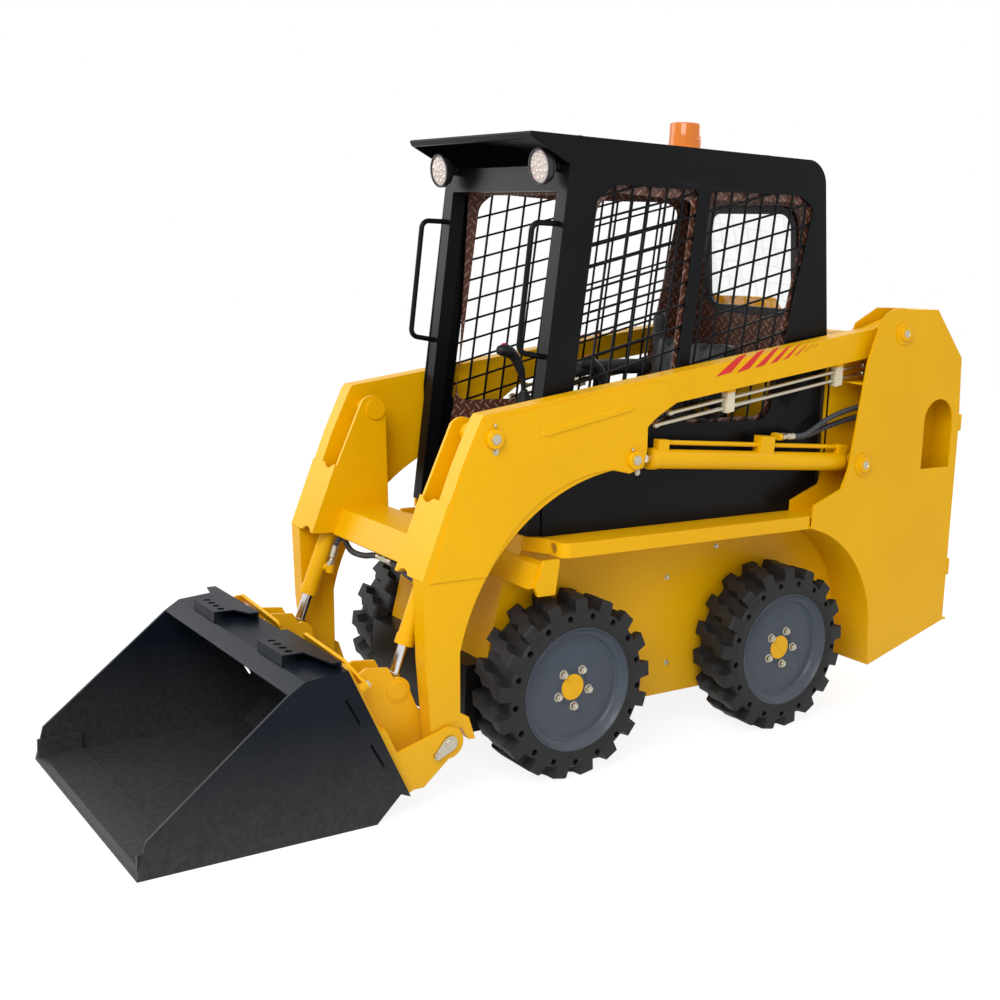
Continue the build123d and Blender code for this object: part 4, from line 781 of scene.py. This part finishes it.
# Work lamps: a lens behind the bezel's ring with its rows of small lights
lamps = {
    "centre": (0.307, -0.5562, 1.9501), "way": (0, -1, -0.12), "radius": 0.0515, "bezel": 0.0575, "light": 0.0082,
    # radius of each ring of lights, and how many stand on it
    "rings": ((0.0, 1), (0.018, 5), (0.037, 9)),
}


def makeLamps(centre, way, radius, bezel, light, rings):
    way, centre = Vector(way).normalized(), spot(*centre)
    across = Vector((1, 0, 0))
    up = way.cross(across)
    lens = turnedPiece("lensLeft", centre - way * 0.003, way, radius, 0.0032, (
        (0.001, 0.0008), (0.012, 0.0012), (0.018, 0.0006), (0.012, 0.0002),
    ), 48)
    ring = roundBlank("lampRingLeft", centre - way * 0.001, way, bezel, 0.0045, 48)
    openPiece(ring)
    pick(ring, lambda middle, normal: normal.dot(way) > 0.99)
    turnSteps(way, ((0.0012, 0.0012), (0.004, 0.0003), (0.0012, -0.0025)))
    bpy.ops.mesh.delete(type="FACE")
    closePiece()
    lights = []
    for ringRadius, count in rings:
        for step in range(count):
            turn = step * 2 * pi / count + 0.3
            place = centre + across * (ringRadius * cos(turn)) + up * (ringRadius * sin(turn)) + way * 0.0004
            lights.append(turnedPiece("light", place, way, light, 0.0012, ((0.0015, 0.0014), (0.003, 0.0008)), 14))
    cells = joinPieces("lampCellsLeft", lights)
    for piece, paint in ((lens, lensAcrylic), (ring, lampAluminium), (cells, zincSteel)):
        finishPair(piece, paint, "chassis", "lamp")


makeLamps(**lamps)
print("lamps made")

# Cab sides: the windows go down to a level sill behind the arms; walls, lining and guard follow it
cabSides = {
    "wall": 0.4, "cornerLow": 0.05, "cornerHigh": 0.024,
    # lower part of each opening, in y and z
    "openings": (
        ((-0.4499, 1.125), (-0.0213, 1.125), (0.0088, 1.45), (-0.4166, 1.45)),
        ((0.0274, 1.125), (0.4359, 1.125), (0.5052, 1.45), (0.0591, 1.45)),
    ),
    "liningX": 0.352, "liningWall": 0.003,
    "lining": ((-0.495, 0.8), (0.655, 0.8), (0.655, 1.33), (0.625, 1.935), (-0.405, 1.935), (-0.425, 1.24)),
    "liningOpenings": (
        ((-0.4366, 1.137), (-0.0323, 1.137), (0.036, 1.878), (-0.3, 1.886), (-0.3605, 1.84)),
        ((0.0407, 1.137), (0.4262, 1.137), (0.5785, 1.87), (0.516, 1.9), (0.1145, 1.885)),
    ),
    # the guard's bars are skewed: lean tips the uprights, rise tips the level ones
    "guardX": 0.3605, "guardWall": 0.005, "bar": 0.0036, "pitch": (0.072, 0.0725), "lean": 0.108, "rise": 0.26,
    "guardFrom": (-0.546, 0.948), "guardCells": (16, 15),
    "guardEdges": (
        ((-0.464, 1.111), (-0.0075, 1.111), (0.066, 1.926), (-0.309, 1.924), (-0.389, 1.868)),
        ((0.0122, 1.111), (0.447, 1.111), (0.613, 1.892), (0.522, 1.94), (0.0925, 1.927)),
    ),
}


def cutCopy(nodeName, name, openings, wall, cornerLow, **others):
    piece = bpy.data.objects.new(name, nodes[nodeName].data.copy())
    bpy.context.scene.collection.objects.link(piece)
    openPiece(piece)
    bpy.ops.mesh.remove_doubles(threshold=0.00005)
    closePiece()
    for opening in openings:
        cutter = platePiece("cutter", opening, sideView(-wall), 2 * wall, (cornerLow, cornerLow, 0, 0))
        cutPiece(piece, cutter)
    finishPiece(piece, None, "chassis", "black", 30)
    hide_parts(nodeName)


def makeLining(lining, liningX, liningWall, liningOpenings, cornerLow, cornerHigh, **others):
    left = platePiece("sideLiningLeft", lining, sideView(liningX), liningWall)
    for opening in liningOpenings:
        cutPiece(left, platePiece("cutter", opening, sideView(0.3), 0.1, (cornerLow,) * 2 + (cornerHigh,) * 3))
    finishPair(left, brownPlate, "chassis", "lining", 30)
    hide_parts("cab_linings")


def makeGuard(guardX, guardWall, bar, pitch, lean, rise, guardFrom, guardCells, guardEdges, **others):
    columns, rows = guardCells
    guard = startPiece("guardLeft", "grid", x_subdivisions=columns, y_subdivisions=rows, size=1)
    for vertex in guard.data.vertices:
        across = guardFrom[0] + (vertex.co.x + 0.5) * columns * pitch[0]
        up = guardFrom[1] + (vertex.co.y + 0.5) * rows * pitch[1]
        across = (across + lean * (up - 1.6)) / (1 - lean * rise)
        vertex.co = (across, up + rise * across, 0)
    openPiece(guard)
    bpy.ops.mesh.inset(thickness=bar, depth=0, use_individual=True)
    bpy.ops.mesh.delete(type="FACE")
    thicken(guardWall)
    guard.data.transform(sideView(guardX))
    halves = [guard, copyPiece(guard, "guardRear", Matrix())]
    for half, edge in zip(halves, guardEdges):
        cutPiece(half, platePiece("cutter", edge, sideView(0.3), 0.1), "INTERSECT")
    left = joinPieces("guardLeft", halves)
    finishPair(left, blackEnamel, "chassis", "black", 30)
    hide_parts("mesh_guards")


for nodeName, name in (
    ("cab_side_left", "cabSideLeft"), ("cab_side_right", "cabSideRight"), ("lower_side_panels", "lowerPanels"),
):
    cutCopy(nodeName, name, **cabSides)
makeLining(**cabSides)
makeGuard(**cabSides)
print("cab sides made")

# Tread plate behind the seat and over the front opening
cabBack = {
    "foot": (0, 0.7, 1.31), "lean": 0.09, "offset": 0.0066, "wall": 0.003, "half": 0.347, "span": (0.012, 0.61),
    # half width, half height, corner radius and height of the window's hole
    "hole": (0.255, 0.205, 0.084, 0.38),
    "header": ((-0.425, 1.872), (-0.4215, 1.872), (-0.4165, 1.935), (-0.42, 1.935)),
}


def makeCabBack(foot, lean, offset, wall, half, span, hole, header):
    up = Vector((0, -lean, 1)).normalized()
    ahead = Vector((0, -1, -lean)).normalized()
    place = Matrix((Vector((1, 0, 0)), up, ahead)).transposed().to_4x4()
    place.translation = spot(*foot) + ahead * offset
    low, high = span
    plate = platePiece("rearLining", ((-half, low), (half, low), (half, high), (-half, high)), place, wall)
    wide, tall, corner, middle = hole
    cutPiece(plate, platePiece("cutter", (
        (-wide, middle - tall), (wide, middle - tall), (wide, middle + tall), (-wide, middle + tall),
    ), place @ Matrix.Translation((0, 0, -0.02)), 0.05, (corner,) * 4))
    for piece in (plate, platePiece("headerLining", header, sideView(-half), 2 * half)):
        finishPiece(piece, brownPlateAcross, "chassis", "lining", 30)


makeCabBack(**cabBack)
print("cab back made")


# A bar swept along a smooth line of places, each with its radius, made flatter across the machine
def sweptBar(name, route, flat=1.0, sides=3):
    bar = curvePiece(name, "NURBS", [(*spot(x, y, z), radius) for x, y, z, radius in route], 1, 6, sides)
    middle = sum(vertex.co.x for vertex in bar.data.vertices) / len(bar.data.vertices)
    for vertex in bar.data.vertices:
        vertex.co.x = middle + (vertex.co.x - middle) * flat
    return bar


# Seat: padded cushion and back blown up by a short cloth run, then sewn channels pressed in
seat = {
    "voxel": 0.009, "pressure": 4, "frames": 18, "cap": 0.011, "channelDepth": 0.007, "channelHalf": 0.012,
    # columns are name, node, size, middle, lean in degrees, sewn side, places of its channels in x, lowest z
    "pads": (
        ("seatCushion", "seat_cushion", (0.43, 0.42, 0.088), (0, 0.2, 1.066), 0, (0, 0, 1), (-0.11, 0.11), 1.0105),
        ("seatBack", "seat_back", (0.4, 0.085, 0.25), (0, 0.385, 1.258), -12, (0, -1, 0), (-0.1, 0.1), 1.1215),
    ),
    # armrests: level ones on both sides, columns y, z and radius, and one folded up on the right
    "restX": 0.24, "rest": (
        (-0.005, 1.232, 0.006), (0.0, 1.24, 0.024), (0.04, 1.258, 0.029), (0.15, 1.262, 0.03), (0.3, 1.262, 0.03),
        (0.375, 1.26, 0.028), (0.385, 1.258, 0.005),
    ),
    "raisedX": -0.235, "raised": (
        (0.425, 1.17, 0.006), (0.425, 1.185, 0.028), (0.423, 1.25, 0.031), (0.42, 1.35, 0.031), (0.415, 1.44, 0.03),
        (0.412, 1.47, 0.025), (0.411, 1.478, 0.006),
    ),
    "bracketY": (0.12, 0.34),
}


def blowPad(pad, pressure, frames):
    cloth = pad.modifiers.new("blow", "CLOTH")
    cloth.settings.quality = 5
    cloth.settings.use_pressure = True
    cloth.settings.uniform_pressure_force = pressure
    cloth.settings.effector_weights.gravity = 0
    cloth.point_cache.frame_end = frames
    for frameNumber in range(1, frames + 1):
        bpy.context.scene.frame_set(frameNumber)
    blown = pad.evaluated_get(bpy.context.evaluated_depsgraph_get())
    places = [vertex.co.copy() for vertex in blown.data.vertices]
    pad.modifiers.remove(cloth)
    bpy.context.scene.frame_set(1)
    return places


def makePad(settings, name, nodeName, size, middle, lean, sewnSide, channels, lowest):
    centre = spot(*middle)
    pad = boxPiece(name, centre, size, 0.022, radians(lean), 3)
    remesh = pad.modifiers.new("voxels", "REMESH")
    remesh.mode, remesh.voxel_size = "VOXEL", settings["voxel"]
    bpy.ops.object.modifier_apply(modifier="voxels")
    before = [vertex.co.copy() for vertex in pad.data.vertices]
    after = blowPad(pad, settings["pressure"], settings["frames"])
    normal = Matrix.Rotation(radians(lean), 3, "X") @ Vector(sewnSide)
    for vertex, start, end in zip(pad.data.vertices, before, after):
        move = end - start
        if move.length > settings["cap"]:
            move = move.normalized() * settings["cap"]
        place = start + move
        if (place - centre).dot(normal) > 0.015:
            # each channel is a soft groove along the pad
            for channel in channels:
                near = (place.x - channel) / settings["channelHalf"]
                place = place - normal * settings["channelDepth"] / (1 + near ** 4)
        place.z = max(place.z, lowest)
        vertex.co = place
    smooth = pad.modifiers.new("smooth", "SUBSURF")
    smooth.levels = 1
    choose(pad)
    bpy.ops.object.modifier_apply(modifier="smooth")
    finishPiece(pad, seatVinyl, "chassis", "vinyl", 60)
    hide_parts(nodeName)


def makeSeat(settings):
    for pad in settings["pads"]:
        makePad(settings, *pad)
    for name, x, route in (
        ("armrestLeft", settings["restX"], settings["rest"]), ("armrestRight", -settings["restX"], settings["rest"]),
        ("armrestRaised", settings["raisedX"], settings["raised"]),
    ):
        rest = sweptBar(name, [(x, *place) for place in route], 0.9)
        finishPiece(rest, seatVinyl, "chassis", "vinyl", 60)
    brackets = []
    for side in (-1, 1):
        for y in settings["bracketY"]:
            brackets.append(boxPiece("bracket", spot(side * 0.24, y, 1.12), (0.006, 0.03, 0.24), 0.0015))
            near = min(side * 0.243, side * 0.205)
            brackets.append(roundBlank("bracket", spot(near, y, 1.015), (1, 0, 0), 0.009, 0.038, 16))
    brackets.append(startPiece("bracket", "cube", size=1, scale=(0.006, 0.02, 0.2), location=spot(-0.235, 0.425, 1.12)))
    finishPiece(joinPieces("armrestFrames", brackets), blackEnamel, "chassis", "black", 30)


makeSeat(seat)
print("seat made")

# Control levers: a console each side, a ribbed boot and a grip that leans forward
levers = {
    "x": 0.255, "console": ((-0.275, 0.788), (-0.09, 0.788), (-0.1, 1.125), (-0.265, 1.125)), "consoleHalf": 0.03,
    # place, radius and length of the boot, then its ribs
    "boot": ((-0.2, 1.1245), 0.034, 0.006), "ribs": (
        (0.002, 0.004), (0.003, 0.003), (0, 0.006), (0.003, 0.002), (0, 0.007), (0.004, 0.002), (0, 0.008),
        (0.004, 0.002), (0, 0.008), (0.005, 0.003), (0, 0.006),
    ),
    # columns are y, z, radius
    "grip": (
        (-0.2, 1.15, 0.009), (-0.207, 1.2, 0.009), (-0.212, 1.232, 0.011), (-0.222, 1.256, 0.017),
        (-0.238, 1.288, 0.018), (-0.258, 1.312, 0.02), (-0.282, 1.326, 0.024), (-0.304, 1.328, 0.023),
        (-0.32, 1.32, 0.017), (-0.325, 1.316, 0.004),
    ),
    "button": (-0.298, 1.346),
}


def makeLevers(x, console, consoleHalf, boot, ribs, grip, button):
    box = platePiece("leverConsoleLeft", console, sideView(x - consoleHalf), 2 * consoleHalf, (0, 0, 0.02, 0.02))
    openPiece(box)
    pick(box, lambda middle, edge: edge.calc_length() > 0.001 and edge.calc_face_angle(0) > 1, "EDGE")
    bpy.ops.mesh.bevel(offset=0.003, segments=2)
    closePiece()
    place, radius, length = boot
    sleeve = turnedPiece("leverBootLeft", spot(x, *place), (0, -0.03, 1), radius, length, ribs, 28)
    stick = sweptBar("leverGripLeft", [(x, *place) for place in grip], 1.0, 4)
    knob = turnedPiece("leverButtonLeft", spot(x, *button), (0, -0.2, 1), 0.008, 0.006, (
        (0.001, 0.001), (0.003, 0.0005),
    ), 20)
    for piece, paint, slotName in (
        (box, blackPlastic, "plastic"), (sleeve, gasketRubber, "gasket"), (stick, blackPlastic, "plastic"),
        (knob, redFilm, "plastic"),
    ):
        finishPair(piece, paint, "chassis", slotName, 40)
    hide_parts("control_levers")


makeLevers(**levers)
print("levers made")

# Beacon: dark foot, amber drum with a flat cap
beacon = {
    "place": (0, 0.292, 2.0515), "foot": 0.066, "drum": 0.06, "drumUp": 0.0235,
    "footSteps": ((0.001, 0.001), (0.006, 0.001), (0, 0.006), (0.001, 0.003), (0, 0.005), (0.002, 0.001)),
    "drumSteps": (
        (0.001, 0.001), (0, 0.03), (-0.0012, 0.001), (0, 0.002), (0.0012, 0.001), (0, 0.05), (0.0015, 0.004),
        (0.006, 0.003), (0.02, 0.001),
    ),
}


def makeBeacon(place, foot, drum, drumUp, footSteps, drumSteps):
    base = spot(*place)
    stand = turnedPiece("beaconFoot", base, (0, 0, 1), foot, 0.008, footSteps, 48)
    dome = turnedPiece("beaconDrum", base + Vector((0, 0, drumUp)), (0, 0, 1), drum, 0.004, drumSteps, 48)
    finishPiece(stand, blackPlastic, "chassis", "plastic", 40)
    finishPiece(dome, amberAcrylic, "chassis", "amber", 40)
    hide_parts("beacon")


makeBeacon(**beacon)
print("beacon made")

# Stripes on the arms: slanted bars that shorten towards the rear, of red film
stripes = {
    "x": 0.4622, "film": 0.0004, "start": (0.09, 1.29), "rise": 0.148,
    # columns are distance along the arm, foot, head, width, lean
    "bars": (
        (0.0, 0.004, 0.062, 0.07, 0.07), (0.095, 0.002, 0.064, 0.058, 0.072), (0.178, 0.004, 0.062, 0.047, 0.068),
        (0.25, 0.007, 0.059, 0.037, 0.062), (0.312, 0.011, 0.056, 0.028, 0.055), (0.366, 0.016, 0.052, 0.02, 0.046),
        (0.412, 0.021, 0.048, 0.013, 0.036), (0.449, 0.026, 0.044, 0.008, 0.026),
    ),
}


def makeStripes(x, film, start, rise, bars):
    made = []
    for along, foot, head, width, lean in bars:
        corners = (
            (along, foot), (along + width, foot + 0.004), (along + width + lean, head),
            (along + lean + width * 0.35, head - 0.006),
        )
        points = [(start[0] + across, start[1] + up + rise * across) for across, up in corners]
        made.append(platePiece("stripe", points, sideView(x - film), 2 * film, (0.003, 0.003, 0.001, 0.001)))
    finishPair(joinPieces("armStripesLeft", made), redFilm, "lift_arms", "yellow", 30)


makeStripes(**stripes)
print("stripes made")

# Small parts of the coupler and the front: pin ends, flag bolts, latch bolts, eye bosses
couplerTrim = {
    "face": 0.4885, "pivot": (-0.926, 0.198), "flagBolt": (-0.969, 0.166), "eye": (0.3888, -1.058, 0.357),
    "eyeSteps": (
        (0.001, 0.0008), (0.006, 0), (0.0008, 0.0015), (0.009, 0), (0.001, -0.0022), (0.005, 0), (0.001, 0.001),
    ),
    "latchBolts": ((0.452, -1.196, 0.4175), (-0.452, -1.219, 0.463)), "latchWay": (0, 0.8919, 0.4522),
}


def makeCouplerTrim(face, pivot, flagBolt, eye, eyeSteps, latchBolts, latchWay):
    pin = turnedPiece("pinEnd", spot(face, *pivot), (1, 0, 0), 0.0165, 0.0012, ((0.001, 0.0012), (0.004, -0.0006)), 32)
    bolt = boltAt("bolt", spot(face, *flagBolt), (1, 0, 0), 0.0085)
    finishPair(joinPieces("flagBoltsLeft", [pin, bolt]), zincSteel, "bucket", "chrome")
    boss = turnedPiece("eyeBossLeft", spot(*eye), (1, 0, 0), 0.036, 0.0025, eyeSteps, 36)
    finishPair(boss, yellowEnamel, "bucket", "yellow")
    for index, place in enumerate(latchBolts):
        bolt = boltAt("latchBolt%d" % index, spot(*place), latchWay, 0.011, 0.008)
        finishPiece(bolt, zincSteel, "bucket", "chrome")


makeCouplerTrim(**couplerTrim)
print("coupler trim made")

# Chassis trim: bolts in the tub's side, studs on the roof, a seal behind the cab, the rear door's handle
chassisTrim = {
    "tubFace": 0.3158, "tubBolts": ((0.048, 0.572), (0.065, 0.259), (0.273, 0.663)),
    "roofFace": 2.0508, "roofStuds": ((0.3, -0.4), (0.3, 0.42), (-0.3, -0.4), (-0.3, 0.42)),
    "hatchFace": 2.0588, "hatchBolts": (
        (0.215, -0.31), (0.215, 0.19), (-0.215, -0.31), (-0.215, 0.19), (0, -0.31), (0.215, -0.06), (-0.215, -0.06),
    ),
    "sealX": 0.3605, "sealWall": 0.004, "seal": ((0.7005, 0.785), (0.78, 0.785), (0.78, 1.31), (0.7005, 1.31)),
    "handle": (-0.4, 1.3719, 0.86), "handleRadius": 0.026, "tee": (0, -0.9, 0.667),
}


def makeChassisTrim(
    tubFace, tubBolts, roofFace, roofStuds, hatchFace, hatchBolts, sealX, sealWall, seal, handle, handleRadius, tee,
):
    bolts = [boltAt("bolt", spot(tubFace, *place), (1, 0, 0)) for place in tubBolts]
    finishPair(joinPieces("tubBoltsLeft", bolts), zincSteel, "chassis", "chrome")
    bolts = [boltAt("bolt", spot(x, y, roofFace), (0, 0, 1), 0.009, 0.008) for x, y in roofStuds]
    bolts += [boltAt("bolt", spot(x, y, hatchFace), (0, 0, 1), 0.007) for x, y in hatchBolts]
    finishPiece(joinPieces("roofBolts", bolts), zincSteel, "chassis", "chrome")
    strip = platePiece("cabSealLeft", seal, sideView(sealX), sealWall, (0.001,) * 4)
    finishPair(strip, gasketRubber, "chassis", "gasket")
    cup = turnedPiece("doorHandle", spot(*handle), (0, 1, 0), handleRadius, 0.0004, (
        (0.0005, 0.0003), (0.006, 0), (0.001, -0.0005),
    ), 36)
    finishPiece(cup, blackPlastic, "rear_door", "plastic")
    x, y, z = tee
    parts = [roundBlank("tee", spot(x - 0.03, y, z), (1, 0, 0), 0.0135, 0.06, 6)]
    parts.append(turnedPiece("tee", spot(x, y, z), (0, 0, 1), 0.012, 0.02, ((0.001, 0.001), (0.002, 0), (0, 0.007)), 6))
    for side in (-1, 1):
        parts.append(turnedPiece("tee", spot(side * 0.028, y, z), (side, 0, 0), 0.0125, 0.02, (
            (0.001, 0.001), (0.001, 0.0005),
        ), 20))
    finishPiece(joinPieces("hoseTee", parts), zincSteel, "lift_arms", "chrome")


makeChassisTrim(**chassisTrim)
print("chassis trim made")

# Studio: pale floor, soft lights from above and both sides, white where only the camera looks
studio = {
    "floorSize": 40, "floor": "#EDEDEC", "worldStrength": 0.6, "paperGlow": 1.17, "glowShare": 0.75, "lampSize": 4.0,
    # columns are name, place, power
    "lamps": (
        ("keyLamp", (3.5, -4.5, 5.0), 345), ("fillLamp", (-5.0, -3.5, 3.5), 130), ("backLamp", (-1.0, 5.5, 4.5), 200),
    ),
}


# 1 for the rays that see the background: the camera's, and those that mirror it or pass through glass
def directRays(tree):
    seen = addNode(tree, "LightPath", {}).outputs
    either = addNode(tree, "Math", {0: seen["Is Camera Ray"], 1: seen["Is Glossy Ray"]}, operation="MAXIMUM")
    return addNode(tree, "Math", {0: either, 1: seen["Is Transmission Ray"]}, operation="MAXIMUM")


def buildStudio(floorSize, floor, worldStrength, paperGlow, glowShare, lampSize, lamps):
    bpy.ops.mesh.primitive_plane_add(size=floorSize, location=(0, 0, 0))
    ground = bpy.context.object
    ground.name = "studioFloor"
    made, tree, place = newMaterial("studioPaper")
    grain = addNode(tree, "TexNoise", {"Vector": place, "Scale": 3})
    paper = addNode(tree, "Mix", {"Factor": grain, "A": floor, "B": "#DDDDDC"}, data_type="RGBA")
    lit = addNode(tree, "BsdfPrincipled", {"Roughness": 0.8, "Specular IOR Level": 0.2, "Base Color": paper})
    glow = addNode(tree, "Emission", {"Color": (1, 1, 1, 1), "Strength": paperGlow})
    share = addNode(tree, "Math", {0: directRays(tree), 1: glowShare}, operation="MULTIPLY")
    addNode(tree, "OutputMaterial", {"Surface": addNode(tree, "MixShader", {0: share, 1: lit, 2: glow})})
    ground.data.materials.append(made)
    for name, place, power in lamps:
        bpy.ops.object.light_add(type="AREA", location=place)
        lamp = bpy.context.object
        lamp.name = name
        lamp.data.size, lamp.data.energy = lampSize, power
        lamp.rotation_euler = (Vector((0, 0.1, 0.8)) - Vector(place)).to_track_quat("-Z", "Y").to_euler()
    world = bpy.data.worlds.new("studioWorld")
    world.use_nodes = True
    tree = world.node_tree
    tree.nodes.clear()
    strength = addNode(tree, "MapRange", {"Value": directRays(tree), "To Min": worldStrength, "To Max": 1})
    sky = addNode(tree, "Background", {"Color": (1, 1, 1, 1), "Strength": strength})
    addNode(tree, "OutputWorld", {"Surface": sky})
    bpy.context.scene.world = world
    bpy.context.scene.view_settings.view_transform = "Standard"


buildStudio(**studio)
print("studio built")
